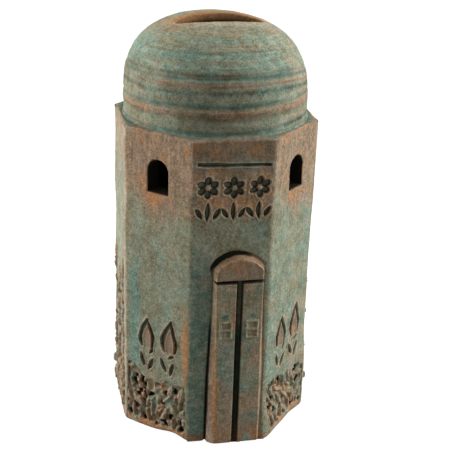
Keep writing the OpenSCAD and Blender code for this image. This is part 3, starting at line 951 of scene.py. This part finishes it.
def throwing_marks(points):
    """The finger rings and fine lines that throwing leaves on the dome, in and out, with their masks."""
    angle = np.arctan2(points[:, Y], points[:, X]) - FACING
    angle = np.mod(angle + math.pi, 2 * math.pi) - math.pi
    at_right = hump(angle, SAG_SIDE, SAG_REACH)
    tilt = -1.1 * np.sin(angle) + 0.12 * np.sin(3 * angle)
    tilt += 2.8 * at_right * soft_step(points[:, Z] - BODY_H, 7, 17)
    z = points[:, Z] - BODY_H + tilt + 0.2 * lumps(points, 9, 31)
    height = np.zeros(len(z))
    masks = blank_masks(len(z))
    vary = (1 + 0.35 * lumps(points, 14, 32)) * (1 - 0.6 * at_right)
    for ring in DEEP_RINGS + LIGHT_RINGS:
        weight = vary * (1 if ring in DEEP_RINGS else LIGHT_RING)
        middle = ring - GROOVE_DROP
        under = middle - 0.5 - z
        ledge = soft_step(under, -0.4, 0.4) * np.exp(-np.clip(under, 0, None) / 2.5)
        height += weight * (LEDGE * ledge - GROOVE_DEPTH * hump(z, middle, GROOVE_W))
    wheel = on_wheel(points)
    lines = lumps(wheel, 0.9, 33)
    height += 0.05 * lines + 0.05 * lumps(wheel, 2.2, 34)
    masks["teal"] = 0.4 + 0.25 * lumps(points, 12, 35) + 0.25 * hump(z, 24, 3.5)
    masks["warm"] = 0.12 + 0.2 * lumps(wheel, 3, 36)
    for middle, half, mask, strength in DOME_STREAKS:
        broken = 0.9 + 0.4 * lumps(points + (0, 0, 31 * middle), 13, 37)
        deepen(masks, mask, strength * broken * hump(z, middle, half))
    # A paler patch on the dome's right, where the right softbox falls: painted highlight
    masks["rub"] = 0.38 * hump(angle, math.radians(75), math.radians(28))
    masks["teal"] += 0.3 * lines
    masks["teal"] *= 1 - 0.7 * masks["warm"]
    # The lower dome is darker in blotches: painted shade together with stains
    stain_and_shade = 0.04 + 0.14 * soft_step(lumps(points, 5, 38), -0.3, 0.6)
    masks["cut"] += stain_and_shade * (1 - soft_step(z, 18, 24)) + 0.14 * hump(z, 24, 3)
    pitted = soft_step(lumps(points, 0.8, 39), -0.1, 0.6)
    masks["cut"] += (0.05 + 0.2 * pitted) * hump(z, 13.5, 3) * (0.5 + 0.6 * hump(angle, 0.2, 0.6))
    return height, masks


def dome(finish):
    """The thrown dome: one shell from its foot to the crown, down through the coin slot and back inside."""
    angle = np.arange(DOME_COLUMNS) * 2 * math.pi / DOME_COLUMNS
    circle = turned(np.stack([np.cos(angle), np.sin(angle), 0 * angle], axis=1), SLOT_TURN)
    outer_r, outer_z = cap_profile(DOME_R, DOME_H - DRUM_H)
    inner_r, inner_z = cap_profile(DOME_R - DOME_T, DOME_H - DRUM_H - DOME_T)
    up = np.array([0, 0, 1])
    rings = []

    def lay_ring(plan, z, out, **extra):
        points = plan.copy()
        points[:, Z] = BODY_H + z
        height, masks = throwing_marks(points)
        height += 0.6 * hand_marks(points)
        points += out * height[:, None]
        over_deck = points[:, Z] - BODY_H
        aside = -DOME_LEAN * over_deck
        points += np.stack([aside, 0 * z, aside * points[:, X] / DOME_H], axis=1)
        for mask, value in extra.items():
            deepen(masks, mask, value)
        rings.append((points, masks))

    def outer_level(plan):
        return np.interp(np.hypot(plan[:, X], plan[:, Y]), outer_r[::-1], outer_z[::-1])

    def inner_level(plan):
        return np.interp(np.hypot(plan[:, X], plan[:, Y]), inner_r[::-1], inner_z[::-1])

    def outside(plan, sunk=0.0, **extra):
        lay_ring(plan, outer_level(plan) - sunk, up, **extra)

    def inside(plan, z):
        # The inside is painted dark: painted shade
        lay_ring(plan, z, 0 * up, warm=1, cut=1)

    length = np.concatenate([[0], np.cumsum(np.hypot(np.diff(outer_r), np.diff(outer_z)))])
    crown_length = np.interp(-CROWN_R, -outer_r, length)
    step = 0.1
    for along in np.linspace(0, crown_length, DOME_RINGS):
        r, z = np.interp(along, length, outer_r), np.interp(along, length, outer_z)
        next_r, next_z = np.interp(along + step, length, outer_r), np.interp(along + step, length, outer_z)
        out = circle * (next_z - z) / step + up * (r - next_r) / step
        tuck = 0.2 * math.exp(-z / 0.6)
        # Painted shade at the dome's foot, in the crease by the coil
        lay_ring(circle * (r - tuck), np.full(DOME_COLUMNS, z), out, cut=0.4 * math.exp(-z / 1.6))
    wobble = 1 + 0.25 * np.sin(5 * angle + 1) + 0.25 * np.sin(13 * angle) + 0.2 * np.sin(29 * angle)
    near_side = soft_step(-np.sin(angle), 0.1, 0.7)
    far_side = soft_step(np.sin(angle), 0.1, 0.5)
    at_left = np.cos(angle) < 0
    ends = np.abs(np.cos(angle)) ** np.where(at_left, 3, 6)
    lip = slot_outline(angle, SLOT_LIP)
    for part in np.linspace(0, 1, CROWN_RINGS + 1)[1:]:
        plan = circle * CROWN_R * (1 - part) + lip * part
        edge = 0.96 - 0.4 * near_side * (0.75 + 0.25 * wobble)
        worn = 0.58 * soft_step(part, edge - 0.1, edge + 0.12) * (1 - 0.8 * far_side)
        stain = far_side * soft_step(part, 0.76, 0.9)
        smear = ends * soft_step(part, np.where(at_left, -0.3, 0.15), 0.8)
        orange = np.maximum(0.65 * smear * wobble, 0.9 * stain)
        outside(plan, rub=worn, orange=orange, warm=stain, cut=0.26 * stain)
    for a in np.radians((22, 45, 67, 90)):
        rounded = slot_outline(angle, SLOT_LIP * (1 - math.sin(a)))
        rub = 0.8 * wobble * (1 - far_side)
        orange = np.maximum(0.8 * ends, far_side)
        outside(rounded, SLOT_LIP * (1 - math.cos(a)), rub=rub, orange=orange, cut=0.3 * far_side)
    wall = slot_outline(angle, 0)
    top = outer_level(wall) - SLOT_LIP
    foot = inner_level(wall)
    back_wall = soft_step(np.sin(angle), -0.2, 0.5)
    for part in np.linspace(0, 1, SLOT_RINGS + 1)[1:]:
        shade = soft_step(part, -0.25, 0.3 + 0.6 * back_wall)
        lay_ring(wall, top + (foot - top) * part, 0 * up, warm=1, orange=1, cut=np.maximum(shade, 0.3))
    for part in np.linspace(0, 1, INNER_CROWN_RINGS + 1)[1:]:
        plan = wall * (1 - part) + circle * INNER_CROWN_R * part
        inside(plan, inner_level(plan))
    for r in np.linspace(INNER_CROWN_R, DOME_R - DOME_T, INNER_RINGS + 1)[1:]:
        z = np.interp(r, inner_r[::-1], inner_z[::-1])
        inside(circle * r, np.full(DOME_COLUMNS, z))
    inside(circle * (DOME_R - DOME_T), np.zeros(DOME_COLUMNS))
    ring_piece("dome", rings, finish)


def door_place(wall_u, z, height, behind, depth):
    """Places on the door: height is over the front wall, and the back lies at a depth in the wall."""
    base, normal = on_body(FRONT, 0 * wall_u, z)
    base[:, X] = wall_u
    out = np.where(behind, -depth, height)
    return base + normal * out[:, None]


def sloped(inside, bevel):
    """The rise of a sloped edge from 0 to 1, with a softened upper corner."""
    soft = 0.3
    rise = inside / bevel
    corner = 1 - (1 + soft - rise) ** 2 / (4 * soft)
    return np.where(rise < 1 - soft, rise, np.where(rise < 1 + soft, corner, 1)).clip(0, 1)


def gap_closing(u):
    """How far the clay of the door's slopes closes the ends of the gap under its head, from 0 to 1."""
    return 1 - soft_step(DOOR_HALF - np.abs(u - DOOR_MIDDLE), 1.0, 1.9)


def door_masks(u, z, spots, inside, bevel, slope, gap, low):
    """How the wash, the ruddy edges, the soot, the painted shade and the painted highlights vary over the
    door's slabs.
    """
    cloud = lumps(spots, 8, 41)
    drift = lumps(spots * (1, 1, 0.3), 2.6, 42)
    masks = blank_masks(len(u))
    shaded = soft_step(DOOR_MIDDLE + 4 - u, -3, 3)
    on_slope = 1 - soft_step(slope, 0.93, 1)
    on_head = soft_step(z, HEAD_FOOT - 1, HEAD_FOOT)
    arching = soft_step(z, DOOR_TOP - 9, DOOR_TOP - 4)
    # Painted shade at the foot of the slopes, deepest on the left jamb and over the arch, and along the
    # gaps' edges
    under = 1 - soft_step(slope, 0.02, 0.3)
    edging = hump(inside + 0.2 * drift, bevel - 0.05, 0.26 + 0.8 * low)
    masks["orange"] = edging * shaded * (1.1 + 0.5 * cloud) * (1 - 0.5 * arching)
    deepen(masks, "orange", (0.4 + 0.3 * drift) * (1 - soft_step(z + 2 * drift, 4, 14)))
    # A pale line along the front edge, worn clay and a painted highlight, stronger on the right; the lower
    # left slope is painted paler as painted light where the left softbox falls
    masks["rub"] = hump(inside, bevel + 0.1, 0.28) * (0.65 - 0.25 * shaded) * (0.9 + 0.5 * cloud)
    deepen(masks, "rub", (0.55 + 0.4 * drift) * on_slope * shaded * low)
    deepen(masks, "rub", 0.3 + 0.12 * cloud)
    masks["warm"] = 0.44 + 0.3 * cloud + 0.25 * drift + 0.55 * (1 - soft_step(z + 2 * drift, 3, 12))
    deepen(masks, "warm", on_slope * (1 - 0.6 * shaded * (1 - low)))
    masks["warm"] += 0.25 * on_head
    masks["teal"] = 0.2 + 0.75 * soft_step(drift - cloud, 0, 0.7) * (1 - soft_step(z, 42, 56))
    blot = hump(z, PLAQUE_TOP + 1.6, 1.1) * hump(gap, 3.6, 1.6)
    deepen(masks, "teal", blot)
    masks["warm"] *= 1 - blot
    deep_shadow = shaded * np.maximum(1 - soft_step(z, 40, 56), arching)
    masks["cut"] = np.maximum(under * (0.4 + 0.5 * deep_shadow), 0.62 * (1 - soft_step(gap, 0, 0.28)))
    # Painted shadow on the left of the arch's slope, and the right slope darker
    deepen(masks, "cut", 0.34 * on_slope * arching * soft_step(DOOR_MIDDLE + 3 - u, 0, 5))
    deepen(masks, "cut", 0.5 * (1 - soft_step(slope, 0.7, 1)) * (1 - shaded))
    deepen(masks, "cut", 0.3 * on_head * (1 - on_slope))
    deepen(masks, "cut", 0.45 * blot)
    puddle = hump(z, 2.5, 2.2) * hump(u, DOOR_MIDDLE + 4.5, 2)
    deepen(masks, "teal", puddle)
    for mask in ("warm", "orange"):
        masks[mask] *= 1 - puddle
    return masks


def door_slab(node, left, right, foot, top, gap_sides, finish):
    """One slab of the door. Its outer edges slope to the wall, and its edges at a gap are upright."""

    def place(flat):
        u = left + (right - left) * flat[:, X]
        bottom, crown = foot(u), top(u)
        z = bottom + (crown - bottom) * flat[:, Y]
        front = flat[:, Z] > -0.5
        inside = -door_gap(u, z)
        low = 1 - soft_step(z, 5, HEAD_FOOT)
        on_left = soft_step(DOOR_MIDDLE - u, 3, 6)
        on_right = soft_step(u - DOOR_MIDDLE, 3, 6)
        bevel = DOOR_BEVEL - door_draw_in(z) + low * (0.9 * on_left - 0.5 * on_right)
        slope = sloped(inside, bevel) ** (1 - 0.55 * on_left * (1 - soft_step(z, 3, 16)))
        to_side = {"left": u - left, "right": right - u, "top": crown - z, "foot": z - bottom}
        gap = np.full(len(u), FAR)
        for side in gap_sides:
            closed = FAR * gap_closing(u) if side in ("top", "foot") else 0
            gap = np.minimum(gap, to_side[side] + closed)
        lip = np.clip(GAP_ROUND - gap, 0, GAP_ROUND)
        stand = np.clip(1 - z / DOOR_FOOT_ROUND, 0, 1)
        height = DOOR_T * slope - (GAP_ROUND - np.sqrt(GAP_ROUND ** 2 - lip ** 2))
        height -= DOOR_FOOT_ROUND * (1 - np.sqrt(1 - stand ** 2))
        points = door_place(u, z, height, ~front, DOOR_LET_IN)
        spots = points * (1, 0, 1) + (40, 0, 7)
        points[:, Y] -= 0.8 * hand_marks(spots) * front * soft_step(inside, 0, 1)
        masks = door_masks(u, z, spots, inside, bevel, slope, gap, low)
        # The back, let into the wall, is painted dark as shade
        masks["cut"][~front] = 1
        return points, masks

    columns = int((right - left) / DOOR_COLUMN)
    tall = (top(np.array([DOOR_MIDDLE])) - foot(np.array([DOOR_MIDDLE])))[0]
    fired(node, slab_form(columns, int(tall / DOOR_ROW)), place, finish)


def door(finish):
    """The arched head and the two leaves of the door."""
    arch_z = DOOR_TOP - ARCH_R
    gap_h = HEAD_FOOT - LEAF_TOP

    def arch(u):
        return arch_z + np.sqrt(np.clip(ARCH_R ** 2 - (u - DOOR_MIDDLE) ** 2, 0, None))

    def head_foot(u):
        return HEAD_FOOT - 0.45 * gap_h * gap_closing(u)

    def leaf_top(u):
        return LEAF_TOP + 0.45 * gap_h * gap_closing(u)

    def leaf_foot(u):
        return np.full(len(u), LEAF_FOOT)

    door_slab("door_head", DOOR_LEFT, DOOR_RIGHT, head_foot, arch, ("foot",), finish)
    door_slab("door_leaf_left", DOOR_LEFT, LEAF_LEFT_EDGE, leaf_foot, leaf_top, ("right", "top"), finish)
    door_slab("door_leaf_right", LEAF_RIGHT_EDGE, DOOR_RIGHT, leaf_foot, leaf_top, ("left", "top"), finish)


def door_plaque(node, finish):
    """A small stamped tile with two panes."""
    spread = 0.3
    left, right = side_of(node, LOW, X) - spread, side_of(node, HIGH, X) + spread
    foot, top = side_of(node, LOW, Z), side_of(node, HIGH, Z)
    thick = -side_of(node, LOW, Y) - APOTHEM - DOOR_T
    bar = 0.9

    def place(flat):
        u = left + (right - left) * flat[:, X]
        z = foot + (top - foot) * flat[:, Y]
        front = flat[:, Z] > -0.5
        beside = np.minimum(u - left, right - u)
        above = np.minimum(z - foot, top - z)
        cross = np.abs(z - (foot + top) / 2)
        pane = np.minimum(np.minimum(beside, above) - bar, cross - bar / 2)
        edge = np.clip(np.minimum(beside, above) / 0.6, 0, 1)
        height = DOOR_T - 0.3 + thick * np.sqrt(edge) - 0.7 * soft_step(pane, -0.2, 0.6)
        points = door_place(u, z, height, ~front, -DOOR_T + 1)
        points[:, Y] -= 0.12 * lumps(points, 1.5, 43) * front
        masks = blank_masks(len(u))
        masks["rub"] = (0.45 + 0.2 * lumps(points, 1.6, 45)) * edge
        masks["warm"] = 0.2 + 0.3 * lumps(points, 1.6, 44)
        pane_top = np.where(z > (foot + top) / 2, top - bar, (foot + top) / 2 - bar / 2)
        # Painted shadow under the bar over each pane, and painted shade round the tile's edges
        masks["cut"] = soft_step(pane, -0.1, 0.3) * (0.06 + 0.7 * hump(z, pane_top, 0.8))
        deepen(masks, "cut", 0.35 * hump(edge, 0, 0.4))
        return points, masks

    fired(node, slab_form(*PLAQUE_GRID), place, finish)


def foliage_piece(wall, finish):
    """The foliage relief on a wall: leaves and stems between gouges, level with the wall at its edges."""
    top = TALL_TOP + 1 if wall in TALL_WALLS else BED_TOP + 5
    half = BED_HALF + 0.4
    foot = BED_FOOT - 0.4

    def place(flat):
        u = (2 * flat[:, X] - 1) * half
        z = foot + (top - foot) * flat[:, Y]
        base, normal, height, masks = wall_face(wall, u, z)
        near = foliage_reach(wall, base, u, z)
        within = soft_step(near, 0.35, 0.8)
        level = foliage_level(wall, base, u, z) * within
        height = height + level + 0.06 * lumps(base, 0.8, 51)
        height -= EDGE_TUCK * (1 - soft_step(near, 0.05, 0.45))
        cloud = lumps(base, 3.5, 52)
        masks["rub"] *= 1 - 0.7 * within
        # The gouges darken with pooled wash and painted shade
        deepen(masks, "cut", 0.95 * soft_step(-level + 0.15 * cloud, 0.3, 0.9))
        deepen(masks, "rub", within * 0.5 * soft_step(level + 0.25 * cloud, 0.05, 0.6))
        deepen(masks, "warm", within * (0.6 + 0.4 * cloud))
        deepen(masks, "teal", within * 0.6 * soft_step(-cloud, 0, 0.5))
        foot_glow = 0.7 - paleness(wall) + 0.3 * cloud
        deepen(masks, "orange", foot_glow * (1 - soft_step(z, 2.6, 4.4)))
        height[flat[:, Z] < -0.5] = -BACK_DEPTH
        return base + normal * height[:, None], masks

    rows = int((top - foot) / FOLIAGE_ROW)
    bm = slab_form(FOLIAGE_COLUMNS, rows)
    fired("foliage_" + WALL_NAMES[wall], bm, place, finish)


def stopper(finish):
    """The hollow rubber plug with a bar across its hollow."""
    hollow_r = NECK_R - NECK_T
    profile = (
        (0, NECK_TOP), (NECK_R - NECK_T / 2, NECK_TOP), (NECK_R, NECK_TOP - NECK_T / 2),
        (NECK_R, FLANGE_FOOT + FLANGE_T), (FLANGE_R, FLANGE_FOOT + FLANGE_T), (FLANGE_R, FLANGE_FOOT),
        (hollow_r, FLANGE_FOOT), (hollow_r, NECK_TOP - NECK_T), (0, NECK_TOP - NECK_T),
    )
    bm = bmesh.new()
    line = [bm.verts.new((r * MM, 0, z * MM)) for r, z in profile]
    edges = [bm.edges.new(pair) for pair in zip(line, line[1:])]
    bmesh.ops.spin(
        bm, geom=line + edges, cent=(0, 0, 0), axis=(0, 0, 1), angle=2 * math.pi,
        steps=STOPPER_STEPS, use_merge=True,
    )
    bmesh.ops.remove_doubles(bm, verts=bm.verts, dist=1e-6)
    sharp = [e for e in bm.edges if e.is_manifold and e.calc_face_angle() > SHARP_ANGLE]
    rounded = {"profile": 0.5, "affect": "EDGES", "material": -1}
    bmesh.ops.bevel(bm, geom=sharp, offset=RUBBER_ROUND * MM, segments=3, **rounded)
    grip_foot = FLANGE_FOOT + FLANGE_T / 2
    size = Vector((2 * hollow_r + NECK_T, GRIP_W, NECK_TOP - NECK_T / 2 - grip_foot)) * MM
    middle = Vector((0, 0, (NECK_TOP - NECK_T / 2 + grip_foot) / 2)) * MM
    bar = bmesh.ops.create_cube(bm, size=1, matrix=Matrix.Translation(middle) @ Matrix.Diagonal((*size, 1)))
    bar_edges = list({e for v in bar["verts"] for e in v.link_edges})
    bmesh.ops.bevel(bm, geom=bar_edges, offset=GRIP_ROUND * MM, segments=4, **rounded)
    bmesh.ops.recalc_face_normals(bm, faces=bm.faces)
    mesh = bpy.data.meshes.new("stopper_rubber")
    bm.to_mesh(mesh)
    bm.free()
    mesh.shade_smooth()
    mesh.set_sharp_from_angle(angle=RUBBER_CREASE_ANGLE)
    mesh.materials.append(finish)
    piece = bpy.data.objects.new("stopper_rubber", mesh)
    bpy.context.scene.collection.objects.link(piece)
    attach(piece, "stopper")
    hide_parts("stopper")


class Wash:
    """A value in a material's nodes. Arithmetic on it adds Math nodes."""

    def __init__(self, tree, socket=None):
        self.tree = tree
        self.socket = socket

    def node(self, kind, settings=None, inputs=None, output=0):
        """Adds a node, with its settings first and then the values or links of its sockets."""
        made = self.tree.nodes.new(kind)
        for name, value in (settings or {}).items():
            setattr(made, name, value)
        for name, value in (inputs or {}).items():
            if isinstance(value, Wash):
                self.tree.links.new(value.socket, made.inputs[name])
            else:
                made.inputs[name].default_value = value
        return Wash(self.tree, made.outputs[output] if made.outputs else None)

    def math(self, operation, first, second):
        return self.node("ShaderNodeMath", {"operation": operation}, {0: first, 1: second})

    def __add__(self, other):
        return self.math("ADD", self, other)

    def __radd__(self, other):
        return self.math("ADD", other, self)

    def __sub__(self, other):
        return self.math("SUBTRACT", self, other)

    def __rsub__(self, other):
        return self.math("SUBTRACT", other, self)

    def __mul__(self, other):
        return self.math("MULTIPLY", self, other)

    def __rmul__(self, other):
        return self.math("MULTIPLY", other, self)

    def step(self, low, high):
        """Rises softly from 0 at low to 1 at high."""
        settings = {"interpolation_type": "SMOOTHSTEP"}
        return self.node("ShaderNodeMapRange", settings, {"Value": self, "From Min": low, "From Max": high})

    def over(self, under, colour):
        """Lays a colour over another by this mask."""
        under = under if isinstance(under, Wash) else (*under, 1)
        colour = colour if isinstance(colour, Wash) else (*colour, 1)
        return self.node("ShaderNodeMix", {"data_type": "RGBA"}, {0: self, 6: under, 7: colour}, 2)

    def times(self, colour):
        """This grey value multiplied into a colour."""
        settings = {"data_type": "RGBA", "blend_type": "MULTIPLY"}
        return self.node("ShaderNodeMix", settings, {0: 1.0, 6: colour, 7: self}, 2)


def new_material(name):
    """An empty node material, and the starting point for its values."""
    material = bpy.data.materials.new(name)
    material.use_nodes = True
    material.node_tree.nodes.clear()
    return material, Wash(material.node_tree)


def finish_with(start, shader):
    """Joins a shader to the material's output."""
    start.node("ShaderNodeOutputMaterial", None, {"Surface": shader})


# Colours of the fired clay and of the wash on it
BROWN_CLAY = (0.215, 0.15, 0.095)
TAN_CLAY = (0.35, 0.24, 0.155)
ORANGE_CLAY = (0.43, 0.215, 0.095)
MAUVE_CLAY = (0.30, 0.222, 0.175)
PALE_CLAY = (0.45, 0.355, 0.25)
OLIVE_WASH = (0.235, 0.222, 0.14)
GREY_WASH = (0.255, 0.28, 0.2)
TEAL_WASH = (0.15, 0.24, 0.188)
PALE_TEAL = (0.25, 0.33, 0.264)
# Near-black for soot in cuts and pits, and for painted shade
SOOT_AND_SHADE = (0.006, 0.0055, 0.0035)
RUBBER = (0.016, 0.015, 0.014)
RUBBER_BLOOM = (0.04, 0.038, 0.035)


def stoneware(name, pits, pull, ruddy, streak=None):
    """Worn copper-green wash on brown stoneware, with dark pits, the pull of a brush, ruddy clay, and soot
    and painted shade where the cut mask lies.

    The streak draws the brush marks out upright. Without it they run round the wheel.
    """
    material, start = new_material(name)
    coords = start.node("ShaderNodeTexCoord", None, None, "Object")

    def noise(size, detail, place=(0, 0, 0), roughness=0.6):
        settings = {"Vector": coords, "Scale": (1 / MM, 1 / MM, 1 / MM), "Location": place}
        spots = start.node("ShaderNodeMapping", None, settings)
        inputs = {"Vector": spots, "Scale": 1 / size, "Detail": detail, "Roughness": roughness}
        return start.node("ShaderNodeTexNoise", None, inputs) - 0.5

    def mask(kind):
        return start.node("ShaderNodeAttribute", {"attribute_name": kind}, None, "Fac")

    if streak:
        settings = {"Vector": coords, "Scale": (1 / MM, 1 / MM, streak / MM)}
        drawn = start.node("ShaderNodeMapping", None, settings)
    else:
        drawn = start.node("ShaderNodeAttribute", {"attribute_name": "wheel"}, None, "Vector")
    inputs = {"Vector": drawn, "Scale": 0.75, "Detail": 4, "Roughness": 0.65}
    brush = start.node("ShaderNodeTexNoise", None, inputs) - 0.5
    patch = noise(8, 3)
    tint = noise(5, 3, (70, 20, 40))
    blush = noise(6.5, 3, (20, 90, 60))
    mottle = noise(2.2, 5, (0, 0, 0), 0.7)
    grain = noise(0.6, 3)
    speck = noise(0.9, 2, (30, 50, 10))
    warm = (mask("warm") + mottle * 0.5 + brush * 0.55 * pull + blush * 1.3).step(0.08, 0.92)
    teal = (mask("teal") + tint * 1.3 + mottle * 0.6 + brush * 0.7 * pull).step(0.1, 1)
    rub = (mask("rub") + mottle * 0.9 + patch * 0.4).step(0.2, 0.85)
    orange = (mask("orange") + mottle * 0.5 + brush * 0.4 * pull).step(0.12, 0.98)
    cut = (mask("cut") + grain * 0.25).step(0.08, 0.9)
    wash = (patch + mottle * 0.8).step(-0.16, 0.16).over(OLIVE_WASH, GREY_WASH)
    wash = teal.over(wash, (mottle + blush * 0.6).step(-0.14, 0.2).over(TEAL_WASH, PALE_TEAL))
    clay = (mottle * 0.8 + brush * 0.7).step(-0.26, 0.14).over(BROWN_CLAY, TAN_CLAY)
    clay = (tint.step(0.02, 0.16) * ruddy).over(clay, ORANGE_CLAY)
    clay = (patch.step(0.02, 0.16) * 0.6).over(clay, MAUVE_CLAY)
    colour = warm.over(wash, clay)
    colour = (orange * 0.9).over(colour, ORANGE_CLAY)
    worn = (blush + mottle * 0.6).step(-0.02, 0.2).over(PALE_CLAY, TAN_CLAY)
    colour = (rub * 0.9).over(colour, worn)
    shade = 1 + grain * 1.9 + mottle * 1.0 + brush * 0.4 * pull + patch * 0.3 + blush * 0.2
    colour = shade.times(colour)
    colour = ((speck + mottle * 0.5).step(0.08, 0.22) * pits).over(colour, SOOT_AND_SHADE)
    # The cut mask lays soot and painted shade over the colour
    colour = (cut * 0.985).over(colour, SOOT_AND_SHADE)
    relief = grain * 0.5 + mottle * 0.6 + brush * 0.4
    bump = start.node("ShaderNodeBump", None, {"Strength": 0.5, "Distance": 0.4 * MM, "Height": relief})
    matt = 0.7 + mottle * 0.25 + cut * 0.3
    inputs = {"Base Color": colour, "Roughness": matt, "Normal": bump, "Specular IOR Level": 0.1}
    finish_with(start, start.node("ShaderNodeBsdfPrincipled", None, inputs))
    return material


def rubber():
    """Matt dark rubber with a faint bloom."""
    material, start = new_material("dark_rubber")
    coords = start.node("ShaderNodeTexCoord", None, None, "Object")
    bloom = start.node("ShaderNodeTexNoise", None, {"Vector": coords, "Scale": 0.25 / MM, "Detail": 4})
    grain = start.node("ShaderNodeTexNoise", None, {"Vector": coords, "Scale": 2 / MM, "Detail": 2})
    colour = bloom.step(0.35, 0.75).over(RUBBER, RUBBER_BLOOM)
    bump = start.node("ShaderNodeBump", None, {"Strength": 0.25, "Distance": 0.1 * MM, "Height": grain})
    inputs = {"Base Color": colour, "Roughness": 0.5 + bloom * 0.25, "Normal": bump}
    finish_with(start, start.node("ShaderNodeBsdfPrincipled", None, inputs))
    return material


# The studio's light: the fill from all round, the floor, and each softbox with its place, size and power
WHITE = (1, 1, 1, 1)
FILL_COLOUR = (1, 0.98, 0.92, 1)
FILL_STRENGTH = 0.205
FLOOR_HALF = 1500
FLOOR_GREY = (0.28, 0.28, 0.28, 1)
FLOOR_GLOW = 0.93
SOFTBOXES = (
    ("left_softbox", (-600, 150, 130), 560, 6.5),
    ("right_softbox", (600, -110, 210), 400, 4.4),
    ("top_softbox", (110, 40, 620), 400, 1.8),
)


def seen_ray(start):
    """1 for rays from the camera, a mirror or glass, and 0 for light that falls on the box."""
    path = start.tree.nodes.new("ShaderNodeLightPath")
    kinds = ("Camera", "Glossy", "Transmission")
    camera_ray, mirror_ray, glass_ray = (Wash(start.tree, path.outputs[f"Is {kind} Ray"]) for kind in kinds)
    return (camera_ray + mirror_ray + glass_ray).step(0, 1)


def studio():
    """A plain pale floor that is clear from below, a white backdrop and soft light from both sides."""
    scene = bpy.context.scene
    scene.view_settings.view_transform = "Standard"
    world = bpy.data.worlds.new("white_studio")
    world.use_nodes = True
    world.node_tree.nodes.clear()
    start = Wash(world.node_tree)
    fill = start.node("ShaderNodeBackground", None, {"Color": FILL_COLOUR, "Strength": FILL_STRENGTH})
    white = start.node("ShaderNodeBackground", None, {"Color": WHITE, "Strength": 1.0})
    both = start.node("ShaderNodeMixShader", None, {0: seen_ray(start), 1: fill, 2: white})
    start.node("ShaderNodeOutputWorld", None, {"Surface": both})
    scene.world = world

    bm = bmesh.new()
    bmesh.ops.create_grid(bm, x_segments=1, y_segments=1, size=FLOOR_HALF * MM)
    mesh = bpy.data.meshes.new("pale_floor")
    bm.to_mesh(mesh)
    bm.free()
    floor = bpy.data.objects.new("pale_floor", mesh)
    scene.collection.objects.link(floor)
    material, start = new_material("pale_floor")
    paper = start.node("ShaderNodeBsdfDiffuse", None, {"Color": FLOOR_GREY})
    strength = seen_ray(start) * FLOOR_GLOW
    glow = start.node("ShaderNodeEmission", None, {"Color": WHITE, "Strength": strength})
    lit = start.node("ShaderNodeAddShader", None, {0: paper, 1: glow})
    below = start.node("ShaderNodeNewGeometry", None, None, "Backfacing")
    clear = start.node("ShaderNodeBsdfTransparent")
    finish_with(start, start.node("ShaderNodeMixShader", None, {0: below, 1: lit, 2: clear}))
    mesh.materials.append(material)

    for softbox in SOFTBOXES:
        soft_light(*softbox)


def soft_light(name, place, size, power):
    """A square softbox that faces the box."""
    lamp = bpy.data.lights.new(name, "AREA")
    lamp.size = size * MM
    lamp.energy = power
    light = bpy.data.objects.new(name, lamp)
    light.location = Vector(place) * MM
    aim = Vector((0, 0, 0.5 * BODY_H)) * MM - light.location
    light.rotation_euler = aim.to_track_quat("-Z", "Y").to_euler()
    bpy.context.scene.collection.objects.link(light)


def camera():
    """The camera at the photograph's viewing angle."""
    back = Vector((
        math.sin(CAMERA_TURN) * math.cos(CAMERA_RISE),
        -math.cos(CAMERA_TURN) * math.cos(CAMERA_RISE),
        math.sin(CAMERA_RISE),
    ))
    right = Vector((math.cos(CAMERA_TURN), math.sin(CAMERA_TURN), 0))
    level = Matrix((right, back.cross(right), back)).transposed().to_4x4()
    lens = bpy.data.cameras.new("camera")
    lens.lens = CAMERA_LENS
    lens.sensor_width = CAMERA_SENSOR
    lens.clip_start = CAMERA_CLIP * MM
    view = bpy.data.objects.new("camera", lens)
    place = (CAMERA_AIM + back * CAMERA_REACH) * MM
    view.matrix_world = Matrix.Translation(place) @ level @ Matrix.Rotation(CAMERA_ROLL, 4, "Z")
    bpy.context.scene.collection.objects.link(view)
    bpy.context.scene.camera = view


camera()
studio()
wall_finish = stoneware("scraped_stoneware", pits=0.3, pull=1, ruddy=0.75, streak=0.12)
dome_finish = stoneware("thrown_stoneware", pits=0.3, pull=1.8, ruddy=0.3)
door_finish = stoneware("door_stoneware", pits=0.28, pull=1, ruddy=0.75, streak=0.2)
for number in range(SIDES):
    wall_piece(number, wall_finish)
for number in FOLIAGE_PHASE:
    foliage_piece(number, wall_finish)
floor_slab(wall_finish)
deck_slab(wall_finish)
luting_coil(dome_finish)
dome(dome_finish)
door(door_finish)
door_plaque("door_plaque_left", door_finish)
door_plaque("door_plaque_right", door_finish)
stopper(rubber())
